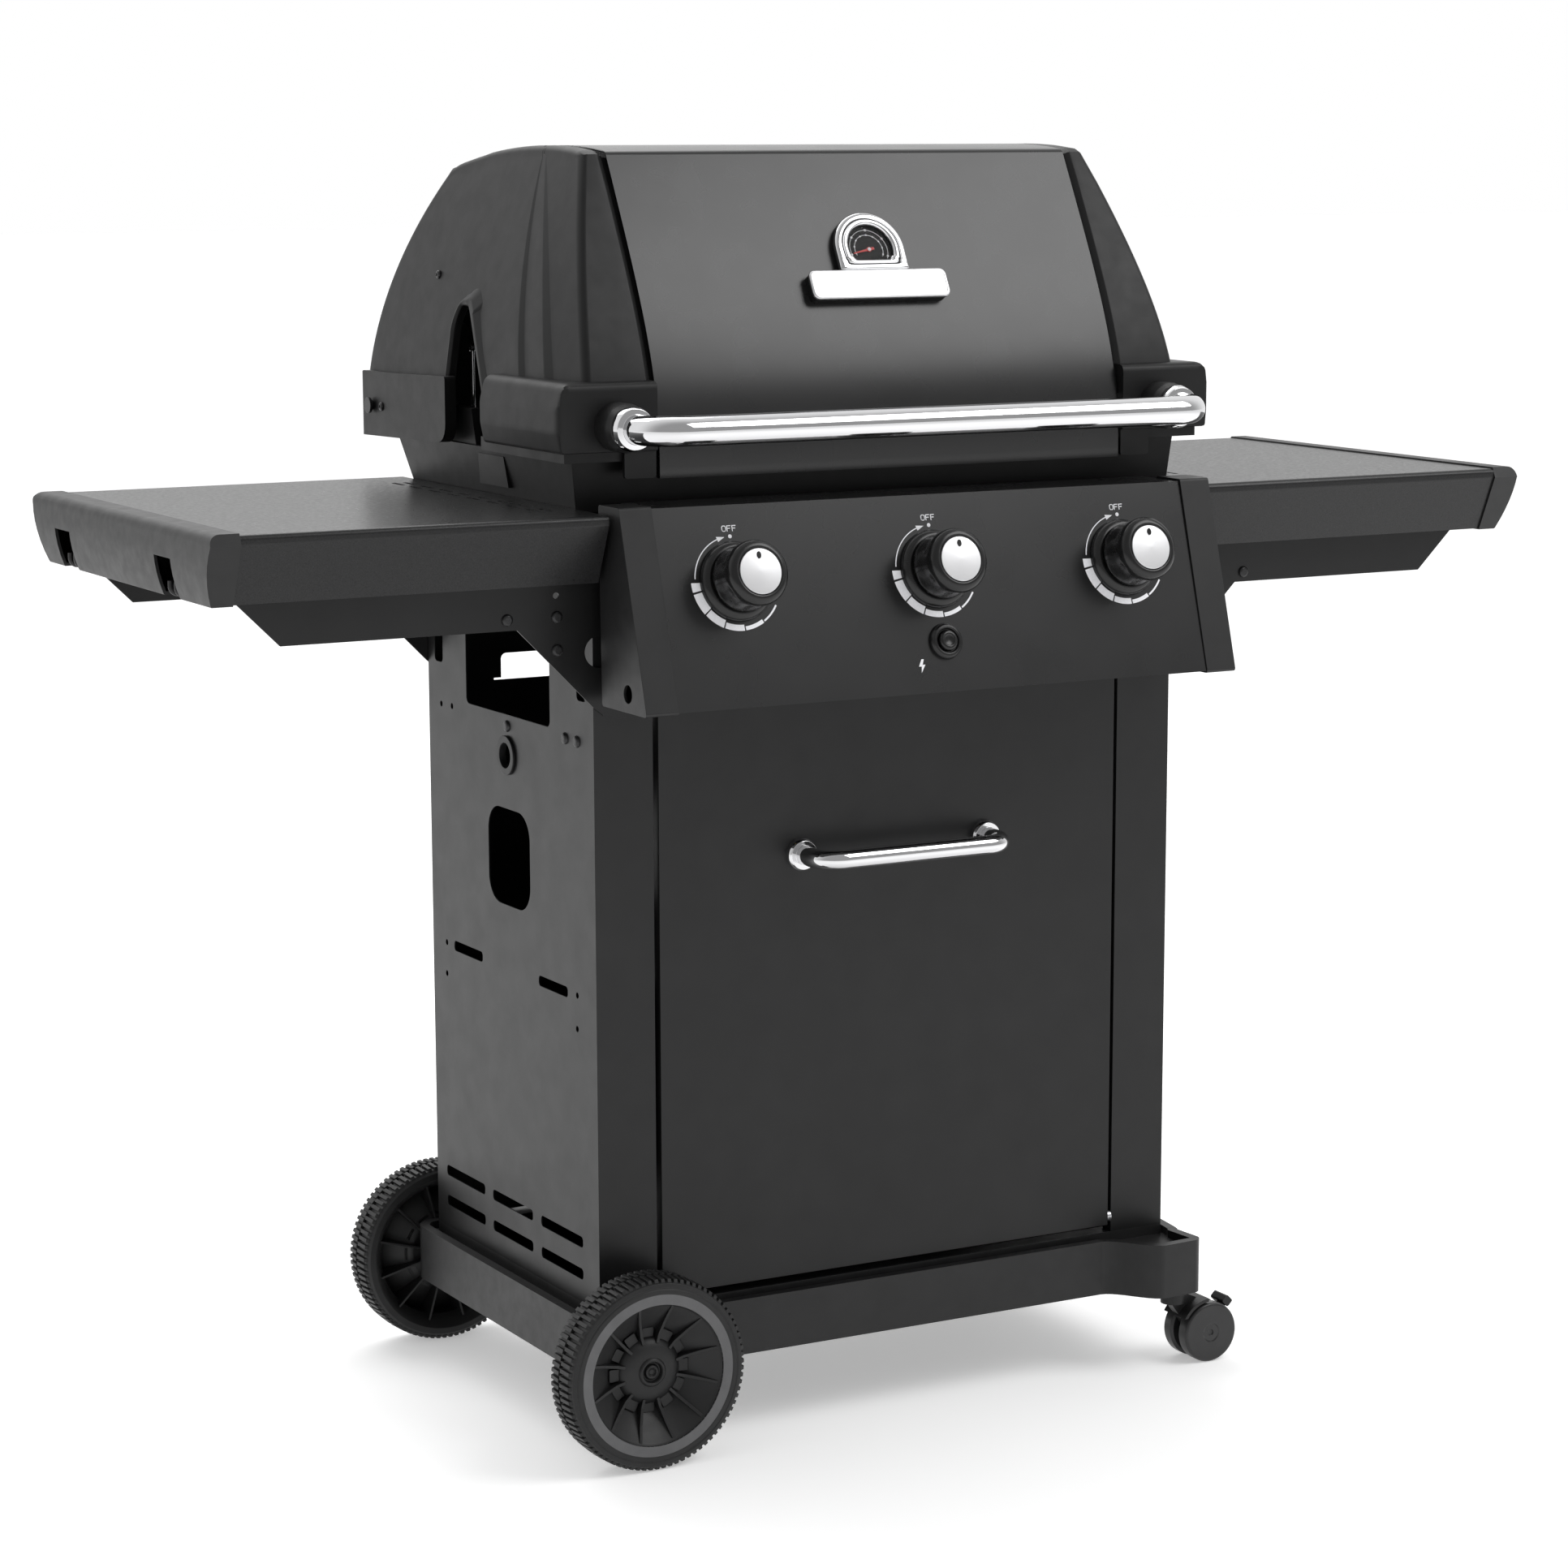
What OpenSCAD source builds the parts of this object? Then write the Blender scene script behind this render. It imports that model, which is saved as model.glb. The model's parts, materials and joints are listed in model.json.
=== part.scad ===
// Three-burner gas barbecue on a wheeled cabinet cart.
// X runs to the right, Y to the back and Z up.  Every module is drawn from the cabinet's front
// face (y = 0) and the floor (z = 0), and on_row() then moves it so that the model's origin is
// the middle of its footprint.

/* [Cabinet] */
// Half the width of the cabinet
cab_half_w = 324; // [318:1:326]
// Depth of the cabinet
cab_d = 380; // [372:1:388]
// Height of the cabinet's lower edge
cab_low_z = 141; // [139:1:146]
// Height of the cabinet's upper edge, on which the firebox rests
cab_top_z = 909; // [905:1:909]
// Width of the front columns beside the door
column_w = 62; // [56:1:62]
// Width of the flanges at the back corners
rear_flange_w = 72; // [50:1:78]
// Thickness of the folded steel sheet
sheet = 1.5; // [1:0.1:2]
// Height of the back panel's upper edge
back_top_z = 704; // [680:1:704]
// Height of the lower edge of the brace above the tray opening
brace_low_z = 731; // [731:1:745]

/* [Door] */
// Half the width of the door
door_half_w = 257; // [250:1:258]
// Height of the door's lower edge
door_low_z = 149; // [148:1:160]
// Height of the door's upper edge
door_top_z = 728; // [700:1:728]
// Depth of the door pan
door_d = 18; // [14:1:20]
// Height of the pins that the door tilts on
door_pin_z = 157; // [156:1:160]
// Radius of the door's pins
door_pin_r = 3; // [2.5:0.5:3.5]

/* [Base] */
// Half the width of the base
base_half_w = 345; // [340:1:350]
// How far the base stands out in front of and behind the cabinet
base_lip = 20; // [18:1:24]
// Height of the base's lower edge
base_low_z = 82; // [80:1:84]
// Height of the rim around the base
base_top_z = 138; // [136:1:140]
// Wall thickness of the base
base_wall = 4; // [3:0.5:6]
// How far the caster ears stand out
ear_out = 44; // [36:1:48]

/* [Wheels] */
// Radius of the two large wheels
wheel_r = 94.9; // [90:0.1:98]
// Width of the large wheels
wheel_w = 45; // [40:1:48]
// Distance of the wheels' axle from the centre line
wheel_x = 300; // [296:1:304]
// Distance from the front face of the cabinet to the front wheel's outer face
wheel_out = 77; // [74:1:80]
// Radius of the axle
axle_r = 5; // [4:0.5:6]
// Radius of the caster wheels
caster_r = 31.5; // [29:0.5:33]
// Overall width of a twin-wheel caster
caster_w = 43; // [40:1:46]
// Distance of the caster stems from the centre line
caster_x = 322; // [318:1:324]
// Trail from the stem to the caster's wheels
caster_trail = 34; // [28:1:36]
// Radius of the caster stems
stem_r = 5.5; // [5:0.5:6]

/* [Control panel] */
// Half the width of the control panel's steel face
panel_half_w = 292; // [288:1:294]
// Half the width over the panel's end caps
panel_cap_half_w = 326; // [320:1:327]
// Forward reach of the panel's lower edge
panel_low_y = -113; // [-116:1:-110]
// Height of the panel's lower edge
panel_low_z = 735; // [733:1:738]
// Forward reach of the panel's upper edge
panel_top_y = -59; // [-62:1:-56]
// Height of the panel's upper edge
panel_top_z = 918; // [915:1:920]
// Distance from one knob to the next
knob_pitch = 214.3; // [205:0.1:220]
// Distance of the knobs above the panel's lower edge, along its face
knob_up = 118.5; // [112:0.5:122]
// Outer radius of a knob
knob_r = 31; // [28:0.5:32]
// Height of a knob's face above the panel
knob_h = 51.3; // [46:0.1:52]
// Radius of the bezel behind a knob
knob_bezel_r = 38; // [36:0.5:40]
// How far a knob is pushed in before it turns
knob_press = 3; // [1:0.5:3]
// Distance of the igniter above the panel's lower edge, along its face
igniter_up = 48.5; // [44:0.5:52]
// Radius of the igniter's bezel
igniter_r = 17; // [15:0.5:18]

/* [Side shelves] */
// Height of the shelves' upper faces
shelf_z = 913; // [911:1:914]
// Distance from the centre line to the seam between sheet and end cap
shelf_seam_x = 690; // [640:1:720]
// Width of a shelf end cap
shelf_cap_w = 30; // [26:1:34]
// Forward reach of the shelves
shelf_front_y = -54; // [-56:1:-52]
// Rear edge of the shelves
shelf_rear_y = 422; // [410:1:426]
// Height of a shelf's front apron
apron_h = 64; // [56:1:66]

/* [Firebox] */
// Half the width of the firebox rim
firebox_half_w = 335.5; // [334:0.5:336]
// Height of the firebox rim
firebox_top_z = 957.5; // [956:0.5:958]
// Wall thickness of the firebox casting
firebox_wall = 5; // [4:0.5:6]
// Height of the cooking grates' upper faces
grate_z = 926; // [924:1:930]
// Radius of the burner tubes
burner_r = 14; // [12:0.5:15]

/* [Lid] */
// Half the width of the lid's curved steel sheet
lid_half_w = 255; // [250:1:256]
// Half the width of the lid at its handle bosses
lid_boss_half_w = 361; // [354:1:364]
// Height of the sheet's lower front edge
lid_low_z = 940; // [938:1:944]
// Height of the handle bosses' lower faces
boss_low_z = 966; // [960:0.5:966]
// Height of the handle bosses' upper faces
boss_top_z = 1031; // [1028:1:1034]
// Height of the lid's crown
lid_top_z = 1246; // [1240:1:1250]
// Rear face of the lid
lid_rear_y = 480; // [478:1:482]
// Wall thickness of the lid's end castings
casting = 4; // [3.5:0.5:5]
// Rear distance of the lid's hinge line
hinge_y = 449; // [447:1:450]
// Height of the lid's hinge line
hinge_z = 984; // [982:1:986]
// Radius of the lid's hinge pins
hinge_pin_r = 5; // [4:0.5:5]
// Radius of the lid's handle tube
handle_r = 14; // [12:0.5:15]
// Distance of the handle's ends from the centre line
handle_x = 301; // [296:1:304]
// Forward reach of the lid handle's centre line
handle_y = -88; // [-92:1:-84]
// Height of the lid handle's centre line
handle_z = 990; // [986:1:994]

/* [Hidden] */
$fn = 48;

// Running clearance of a shaft in its bore, on the radius
run = 0.05;
// Free gap between pieces that move past each other
gap = 0.3;
// Overshoot of a cut
eps = 1;

// Colours
black_paint = [0.07, 0.07, 0.075];
black_enamel = [0.1, 0.1, 0.11];
black_cast = [0.12, 0.12, 0.125];
black_resin = [0.05, 0.05, 0.055];
chrome = [0.85, 0.85, 0.87];
steel = [0.6, 0.6, 0.62];
cast_iron = [0.16, 0.16, 0.16];
brass = [0.72, 0.58, 0.28];
trim_grey = [0.62, 0.62, 0.63];

// Tilt of the control panel from upright
panel_tilt = atan((panel_top_y - panel_low_y) / (panel_top_z - panel_low_z));
panel_back_y = -23;
knob_places = [-1, 0, 1];

// A knob's profile as radius and height above the panel, without its centre line
knob_rim_h = knob_h - 5;
knob_edge_r = knob_r - 3;
knob_edge_h = knob_h - 1;
knob_reach = knob_edge_h * cos(panel_tilt) + knob_edge_r * sin(panel_tilt);
knob_axis_y = panel_low_y + knob_up * sin(panel_tilt);

// The skirt bands at the back of the lid stand out a little past its rear face
skirt_out = 3;
front_most_y = knob_axis_y - knob_reach;
rear_most_y = lid_rear_y + skirt_out;
row_y = -(front_most_y + rear_most_y) / 2;

// Centre of the base, about which the wheels and casters mirror
base_mid_y = cab_d / 2;

module on_row() {
    translate([0, row_y, 0]) children();
}

// A flat shape in Y and Z, given thickness t to the right of x
module in_side(x, t) {
    translate([x, 0, 0]) rotate([90, 0, 90]) linear_extrude(t) children();
}

// A flat shape in X and Z, given thickness t behind y
module in_front(y, t) {
    translate([0, y + t, 0]) rotate([90, 0, 0]) linear_extrude(t) children();
}

// Local Z out of the control panel, at distance up along its face
module at_panel(x, up) {
    translate([x, panel_low_y + up * sin(panel_tilt), panel_low_z + up * cos(panel_tilt)])
        rotate([90 - panel_tilt, 0, 0]) children();
}

module both_sides() {
    children();
    mirror([1, 0, 0]) children();
}

// The front half and its mirror image at the back of the base
module both_ends() {
    children();
    translate([0, 2 * base_mid_y, 0]) mirror([0, 1, 0]) children();
}

module round_rect(w, h, r) {
    offset(r = r) square([w - 2 * r, h - 2 * r], center = true);
}

module ring(r_out, r_in, h) {
    difference() {
        cylinder(r = r_out, h = h);
        translate([0, 0, -eps]) cylinder(r = r_in, h = h + 2 * eps);
    }
}

function lerp(a, b, t) = a + (b - a) * t;
function bezier(p, steps) = [for (i = [0:steps]) let (t = i / steps, u = 1 - t)
    u * u * u * p[0] + 3 * u * u * t * p[1] + 3 * u * t * t * p[2] + t * t * t * p[3]];
// An eased step from p to q, level at both ends
function s_step(p, q, steps = 8) = [for (i = [0:steps]) let (t = i / steps)
    [lerp(p[0], q[0], t), lerp(p[1], q[1], (1 - cos(180 * t)) / 2)]];
function arc(c, r, a0, a1, steps = 6) = [for (i = [0:steps]) let (a = lerp(a0, a1, i / steps))
    c + r * [cos(a), sin(a)]];

// ---------------------------------------------------------------- cabinet

vent_l = 94;
vent_h = 11;
vent_pitch_y = 113.2;
vent_first_y = 82.4;
vent_rows_z = [169.5, 201.5];
grommet_y = 193;
grommet_z = 657;
grommet_bore_r = 12.5;
grommet_hole_r = 16;
window_mid = [192, 555];
window_size = [96, 97];
upper_window_y = [95, 288];
upper_window_z = [697, 815];
corner_slot_y = [26, 354];
corner_slot_z = 790;

// The openings of a side panel, in Y and Z
module side_openings(with_grommet) {
    for (i = [0:2], z = vent_rows_z)
        translate([vent_first_y + i * vent_pitch_y, z]) round_rect(vent_l, vent_h, 4);
    translate([293, 443]) round_rect(69, 10.5, 4);
    translate([95, 444]) round_rect(65, 10.5, 4);
    for (p = [[346, 443], [347, 410.5], [41.5, 445], [42.4, 412], [349.5, 688.5], [323.4, 689.3]])
        translate(p) circle(r = 3);
    translate(window_mid) round_rect(window_size[0], window_size[1], 26);
    translate([(upper_window_y[0] + upper_window_y[1]) / 2, (upper_window_z[0] + upper_window_z[1]) / 2])
        round_rect(upper_window_y[1] - upper_window_y[0], upper_window_z[1] - upper_window_z[0], 7);
    for (y = corner_slot_y) translate([y, corner_slot_z]) round_rect(20, 118, 5);
    if (with_grommet) translate([grommet_y, grommet_z]) circle(r = grommet_hole_r);
}

module side_sheet(with_grommet) {
    h = cab_top_z - cab_low_z;
    lip = 15;
    in_side(-cab_half_w, sheet) difference() {
        translate([0, cab_low_z]) square([cab_d, h]);
        side_openings(with_grommet);
    }
    translate([-cab_half_w, 0, cab_low_z]) {
        cube([column_w, sheet, h]);
        translate([column_w - sheet, 0, 0]) cube([sheet, lip, crossmember_low_z - gap - cab_low_z]);
        translate([0, cab_d - sheet, 0]) cube([rear_flange_w, sheet, h]);
    }
}

module left_side_panel() {
    color(black_paint) on_row() side_sheet(true);
}

module right_side_panel() {
    color(black_paint) on_row() mirror([1, 0, 0]) side_sheet(false);
}

module back_panel() {
    low_z = cab_low_z + 2;
    color(black_paint) on_row() in_front(cab_d, sheet)
        translate([-(cab_half_w - 2), low_z]) square([2 * (cab_half_w - 2), back_top_z - low_z]);
}

// Plate above the tray opening, with a leg down each side
module rear_brace() {
    top_z = 800;
    leg_low_z = back_top_z + 2;
    leg_x = 243;
    half = cab_half_w - 2;
    color(black_paint) on_row() in_front(cab_d, sheet) difference() {
        translate([-half, leg_low_z]) square([2 * half, top_z - leg_low_z]);
        translate([0, leg_low_z]) round_rect(2 * leg_x, 2 * (brace_low_z - leg_low_z), 6);
    }
}

crossmember_low_z = door_top_z + 4;

module front_crossmember() {
    h = 30;
    d = 22;
    half = cab_half_w - sheet - gap;
    color(black_paint) on_row() in_side(-half, 2 * half) translate([sheet, crossmember_low_z]) difference() {
        square([d, h]);
        translate([sheet, sheet]) square([d, h - 2 * sheet]);
    }
}

module hose_grommet() {
    flange_r = 19.5;
    flange_h = 3;
    color(black_resin) on_row() translate([-cab_half_w, grommet_y, grommet_z]) rotate([0, 90, 0]) {
        translate([0, 0, -flange_h]) ring(flange_r, grommet_bore_r, flange_h);
        ring(grommet_hole_r, grommet_bore_r, sheet);
        translate([0, 0, sheet]) ring(flange_r, grommet_bore_r, flange_h);
    }
}

// ---------------------------------------------------------------- base

// The front edge of the base from left to right, with the caster ear at its right end
function base_front_edge() = concat(
    arc([-base_half_w + 24, -base_lip + 24], 24, 180, 270),
    s_step([238, -base_lip], [288, -base_lip - ear_out], 10),
    arc([324, -base_lip - ear_out + 14], 12, 280, 350, 4),
    s_step([333, -18], [base_half_w, 40], 8)
);

function mirrored_back(pts) = [for (i = [len(pts) - 1:-1:0]) [pts[i][0], 2 * base_mid_y - pts[i][1]]];

module base_outline() {
    polygon(concat(base_front_edge(), mirrored_back(base_front_edge())));
}

caster_y = -28;
socket_r = 10.5;
socket_top_z = 124;
deck_z = 130;

module axle_bores(r) {
    translate([-wheel_x, base_mid_y, wheel_r]) rotate([90, 0, 0])
        cylinder(r = r, h = 2 * cab_d, center = true);
}

module base_frame() {
    deck_t = 3;
    rim_t = 10;
    axle_block = [26, 22, 24];
    color(black_resin) on_row() difference() {
        union() {
            // outer wall
            translate([0, 0, base_low_z]) linear_extrude(deck_z - base_low_z) difference() {
                base_outline();
                offset(delta = -base_wall) base_outline();
            }
            // deck and the rim that stands above it
            translate([0, 0, deck_z - deck_t]) linear_extrude(deck_t) base_outline();
            translate([0, 0, deck_z]) linear_extrude(base_top_z - deck_z) difference() {
                base_outline();
                offset(delta = -rim_t) base_outline();
            }
            // ledge that carries the cabinet
            translate([-cab_half_w, 0, deck_z]) difference() {
                cube([2 * cab_half_w, cab_d, cab_low_z - deck_z]);
                translate([20, 20, -eps]) cube([2 * cab_half_w - 40, cab_d - 40, cab_low_z]);
            }
            both_ends() {
                translate([caster_x, caster_y, base_low_z]) cylinder(r = socket_r, h = deck_z - base_low_z);
                translate([-wheel_x - axle_block[0] / 2, -base_lip + base_wall / 2, base_low_z])
                    cube([axle_block[0], axle_block[1], deck_z - base_low_z]);
            }
        }
        axle_bores(axle_r);
        both_ends() translate([caster_x, caster_y, base_low_z - eps])
            cylinder(r = stem_r + run, h = socket_top_z - base_low_z + eps);
    }
}

// ---------------------------------------------------------------- wheels

// Radii of the large wheel's parts, about its axle
barrel_r = 69.6;
trim_out_r = 79.8;
hub_r = 34;
hub_face = 13;
hub_bore_end = 20;
retainer_y = 32;
web = 28;
trim_t = 2;
spoke_n = 12;

// Turned shape of a wheel: radius across, distance in from its outer face upwards
module wheel_solid() {
    tread_in = 3;
    rotate_extrude($fn = 96) {
        // tread, barrel and dished web
        polygon([
            [trim_out_r, trim_t], [wheel_r - 6, trim_t], [wheel_r - tread_in / 2, 5], [wheel_r, 9],
            [wheel_r, wheel_w / 2 - 2], [wheel_r - tread_in, wheel_w / 2 - 1],
            [wheel_r - tread_in, wheel_w / 2 + 1], [wheel_r, wheel_w / 2 + 2],
            [wheel_r, wheel_w - 6], [wheel_r - tread_in / 2, wheel_w - 2], [wheel_r - 6, wheel_w],
            [trim_out_r + 4, wheel_w], [trim_out_r, wheel_w - 4], [barrel_r + 4, web + 6],
            [hub_r, web + 3], [hub_r, web], [barrel_r, web], [barrel_r, trim_t]
        ]);
        // domed hub with a raised centre
        polygon([
            [0, hub_face], [7, hub_face], [8, hub_face + 2], [11, hub_face + 2], [13, hub_face],
            [20, hub_face + 1], [28, hub_face + 5], [hub_r, hub_face + 11], [hub_r, web + 3], [30, web + 3],
            [25, hub_face + 8], [14, hub_bore_end + 1], [14, wheel_w - 3],
            [axle_r + run, wheel_w - 3], [axle_r + run, retainer_y + 1], [axle_r - 0.5, retainer_y + 1],
            [axle_r - 0.5, retainer_y - 1], [axle_r + run, retainer_y - 1],
            [axle_r + run, hub_bore_end], [0, hub_bore_end]
        ]);
    }
    // radial ribs, in front of the web and behind it
    spoke_t = 2.6;
    for (i = [0:spoke_n - 1]) rotate(360 * i / spoke_n) {
        rotate([90, 0, 0]) translate([0, 0, -spoke_t / 2]) linear_extrude(spoke_t)
            polygon([[hub_r - 3, 21], [barrel_r + 1, 5], [barrel_r + 1, web + 1], [hub_r - 3, web + 1]]);
        rotate([90, 0, 0]) translate([0, 0, -spoke_t / 2]) linear_extrude(spoke_t)
            polygon([
                [13, hub_bore_end + 2], [hub_r, web + 1], [barrel_r + 4, web + 4],
                [trim_out_r, wheel_w - 6], [13, wheel_w - 6]
            ]);
    }
}

// Local Z runs inwards from the front wheel's outer face
module at_front_wheel() {
    translate([-wheel_x, -wheel_out, wheel_r]) rotate([-90, 0, 0]) children();
}

module at_rear_wheel() {
    translate([-wheel_x, 2 * base_mid_y + wheel_out, wheel_r]) rotate([90, 0, 0]) children();
}

module wheel_trim() {
    ring(trim_out_r, barrel_r, trim_t, $fn = 96);
}

module front_wheel() {
    color(black_resin) on_row() at_front_wheel() wheel_solid();
}

module front_wheel_trim() {
    color(trim_grey) on_row() at_front_wheel() wheel_trim();
}

module rear_wheel() {
    color(black_resin) on_row() at_rear_wheel() wheel_solid();
}

module rear_wheel_trim() {
    color(trim_grey) on_row() at_rear_wheel() wheel_trim();
}

// Half of the axle, with the groove that the wheel's retaining ridge runs in
module axle_half() {
    tip = hub_bore_end + 1;
    length = base_mid_y + wheel_out;
    groove_r = axle_r - 1;
    groove_w = 3;
    rotate_extrude() polygon([
        [0, tip], [axle_r - 1, tip], [axle_r, tip + 1], [axle_r, retainer_y - groove_w / 2],
        [groove_r, retainer_y - groove_w / 2], [groove_r, retainer_y + groove_w / 2],
        [axle_r, retainer_y + groove_w / 2], [axle_r, length], [0, length]
    ]);
}

module wheel_axle() {
    color(steel) on_row() {
        at_front_wheel() axle_half();
        at_rear_wheel() axle_half();
    }
}

// ---------------------------------------------------------------- casters

caster_axle_r = 4;
caster_body_w = 11;
brake_pin_r = 2.5;
brake_arm_w = 6;
// The brake's pivot, from the caster wheels' axle
brake_pivot = [22, 14.5];
brake_slot_r = 9;
stem_top_z = 120;
yoke_top_z = 80;

// Shapes here are in X and Z, seen from the front, and centred on the caster's mid plane
module in_caster(w) {
    translate([0, caster_y, 0]) in_front(-w / 2, w) children();
}

caster_wheel_x = caster_x + caster_trail;

module caster_yoke() {
    cheek = (caster_body_w - brake_arm_w) / 2 - gap;
    difference() {
        union() {
            in_caster(caster_body_w) hull() {
                translate([caster_wheel_x, caster_r]) circle(r = 13);
                translate([caster_wheel_x + brake_pivot[0], caster_r + brake_pivot[1]]) circle(r = 6);
                translate([caster_x, yoke_top_z - 10]) circle(r = 8);
            }
            // cover over the top of the wheels and the seat of the stem
            in_caster(caster_w - 4) intersection() {
                difference() {
                    translate([caster_wheel_x, caster_r]) circle(r = caster_r + 5);
                    translate([caster_wheel_x, caster_r]) circle(r = caster_r + 1.5);
                }
                translate([caster_wheel_x - 42, caster_r + 18]) square([40, 30]);
            }
            translate([caster_x, caster_y, yoke_top_z - 16]) cylinder(r = 13, h = 12);
            translate([caster_x, caster_y, yoke_top_z - 4]) cylinder(r1 = 11, r2 = 8, h = 5);
            translate([caster_x, caster_y, yoke_top_z - 4])
                cylinder(r = stem_r, h = stem_top_z - yoke_top_z + 4);
        }
        in_caster(caster_w) translate([caster_wheel_x, caster_r]) circle(r = caster_axle_r + run);
        // slot for the brake lever
        in_caster(brake_arm_w + 2 * gap)
            translate([caster_wheel_x + brake_pivot[0], caster_r + brake_pivot[1]]) circle(r = brake_slot_r);
    }
    // brake pin across the slot
    in_caster(brake_arm_w + 2 * gap + 2 * cheek)
        translate([caster_wheel_x + brake_pivot[0], caster_r + brake_pivot[1]]) circle(r = brake_pin_r);
}

module caster_wheels() {
    disc_w = (caster_w - caster_body_w) / 2 - gap;
    translate([caster_wheel_x, caster_y, caster_r]) rotate([90, 0, 0]) {
        cylinder(r = caster_axle_r, h = caster_w - 4, center = true);
        for (s = [0, 1]) mirror([0, 0, s]) translate([0, 0, caster_body_w / 2 + gap]) rotate_extrude($fn = 72)
            polygon([
                [caster_axle_r - 1, 0], [caster_r - 3, 0], [caster_r, 2], [caster_r, disc_w - 3],
                [caster_r - 1, disc_w - 1], [caster_r - 3, disc_w], [10, disc_w], [9, disc_w - 0.6],
                [caster_axle_r - 1, disc_w - 0.6]
            ]);
    }
}

module caster_brake() {
    pedal_w = 22;
    px = caster_wheel_x + brake_pivot[0];
    pz = caster_r + brake_pivot[1];
    difference() {
        union() {
            in_caster(brake_arm_w) hull() {
                translate([px, pz]) circle(r = 5);
                translate([px + 5, pz + 9]) circle(r = 4);
            }
            in_caster(pedal_w) translate([px + 5, pz + 13]) rotate(-45) round_rect(10, 9, 2);
        }
        in_caster(2 * pedal_w) translate([px, pz]) circle(r = brake_pin_r + run);
    }
}

module front_caster_yoke() {
    color(black_resin) on_row() caster_yoke();
}

module front_caster_wheels() {
    color(black_resin) on_row() caster_wheels();
}

module front_caster_brake() {
    color(black_resin) on_row() caster_brake();
}

module to_rear() {
    translate([0, 2 * (base_mid_y - caster_y), 0]) children();
}

module rear_caster_yoke() {
    color(black_resin) on_row() to_rear() caster_yoke();
}

module rear_caster_wheels() {
    color(black_resin) on_row() to_rear() caster_wheels();
}

module rear_caster_brake() {
    color(black_resin) on_row() to_rear() caster_brake();
}

// ---------------------------------------------------------------- door

door_front_y = -1.8;
door_pin_y = 4;
door_handle_x = 104;
door_handle_y = -50;
door_handle_z = 570;
door_tube_r = 9.5;

module door_pan(inset, depth) {
    translate([-door_half_w + inset, door_front_y + inset, door_low_z + inset])
        cube([2 * (door_half_w - inset), depth, door_top_z - door_low_z - 2 * inset]);
}

module door_panel() {
    color(black_paint) on_row() difference() {
        door_pan(0, door_d);
        door_pan(sheet, door_d);
        translate([0, door_pin_y, door_pin_z]) rotate([0, 90, 0])
            cylinder(r = door_pin_r + run, h = 2 * cab_half_w, center = true);
    }
}

// A bar with both ends bent back by elbows: half length, forward reach, start, tube radius
module bent_bar(half, reach, start, tube, bend) {
    rotate([0, 90, 0]) cylinder(r = tube, h = 2 * (half - bend), center = true);
    both_sides() {
        translate([half - bend, bend, 0]) rotate(-90) rotate_extrude(angle = 90)
            translate([bend, 0]) circle(r = tube);
        translate([half, bend, 0]) rotate([-90, 0, 0]) cylinder(r = tube, h = reach - start - bend);
    }
}

module door_handle() {
    ring_h = 9;
    ring_r = 16;
    front = door_front_y;
    color(chrome) on_row() {
        translate([0, door_handle_y, door_handle_z])
            bent_bar(door_handle_x, front - door_handle_y, ring_h - 2, door_tube_r, 24);
        both_sides() translate([door_handle_x, front, door_handle_z]) rotate([90, 0, 0])
            rotate_extrude() polygon([
                [0, 0], [ring_r, 0], [ring_r, ring_h - 3], [ring_r - 2, ring_h], [0, ring_h]
            ]);
    }
}

// The two pins that the door's foot turns on, and the magnets that hold its top
module door_fittings() {
    pin_in = 9;
    washer_r = 6;
    magnet = [34, 12, 3];
    magnet_x = 150;
    inner_x = cab_half_w - column_w;
    color(steel) on_row() both_sides() {
        translate([inner_x, door_pin_y, door_pin_z]) rotate([0, -90, 0]) {
            cylinder(r = door_pin_r, h = pin_in);
            cylinder(r = washer_r, h = inner_x - door_half_w - gap);
        }
        translate([magnet_x - magnet[0] / 2, 3, crossmember_low_z - magnet[2]]) cube(magnet);
    }
}

// ---------------------------------------------------------------- control panel

valve_hole_r = 9;
igniter_hole_r = 11;

module panel_fold() {
    polygon([
        [panel_top_y + 66, panel_top_z - sheet], [panel_top_y + 66, panel_top_z], [panel_top_y, panel_top_z],
        [panel_low_y, panel_low_z], [panel_back_y, panel_low_z - 1.5], [panel_back_y, panel_low_z],
        [panel_low_y + 2, panel_low_z + sheet], [panel_top_y + 1.5, panel_top_z - sheet]
    ]);
}

// Folded end that carries the panel on the shelf brackets
module panel_gusset() {
    polygon([
        [panel_top_y + 1, panel_top_z - sheet], [panel_low_y + 2, panel_low_z + sheet / 2],
        [panel_back_y, panel_low_z + sheet / 2], [-bracket_t, 760], [-bracket_t, panel_top_z - sheet]
    ]);
}

module control_panel() {
    color(black_enamel) on_row() difference() {
        union() {
            in_side(-panel_half_w, 2 * panel_half_w) panel_fold();
            both_sides() in_side(panel_half_w - sheet, sheet) panel_gusset();
        }
        for (i = knob_places) at_panel(i * knob_pitch, knob_up)
            cylinder(r = valve_hole_r, h = 20, center = true);
        at_panel(0, igniter_up) cylinder(r = igniter_hole_r, h = 20, center = true);
    }
}

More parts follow.
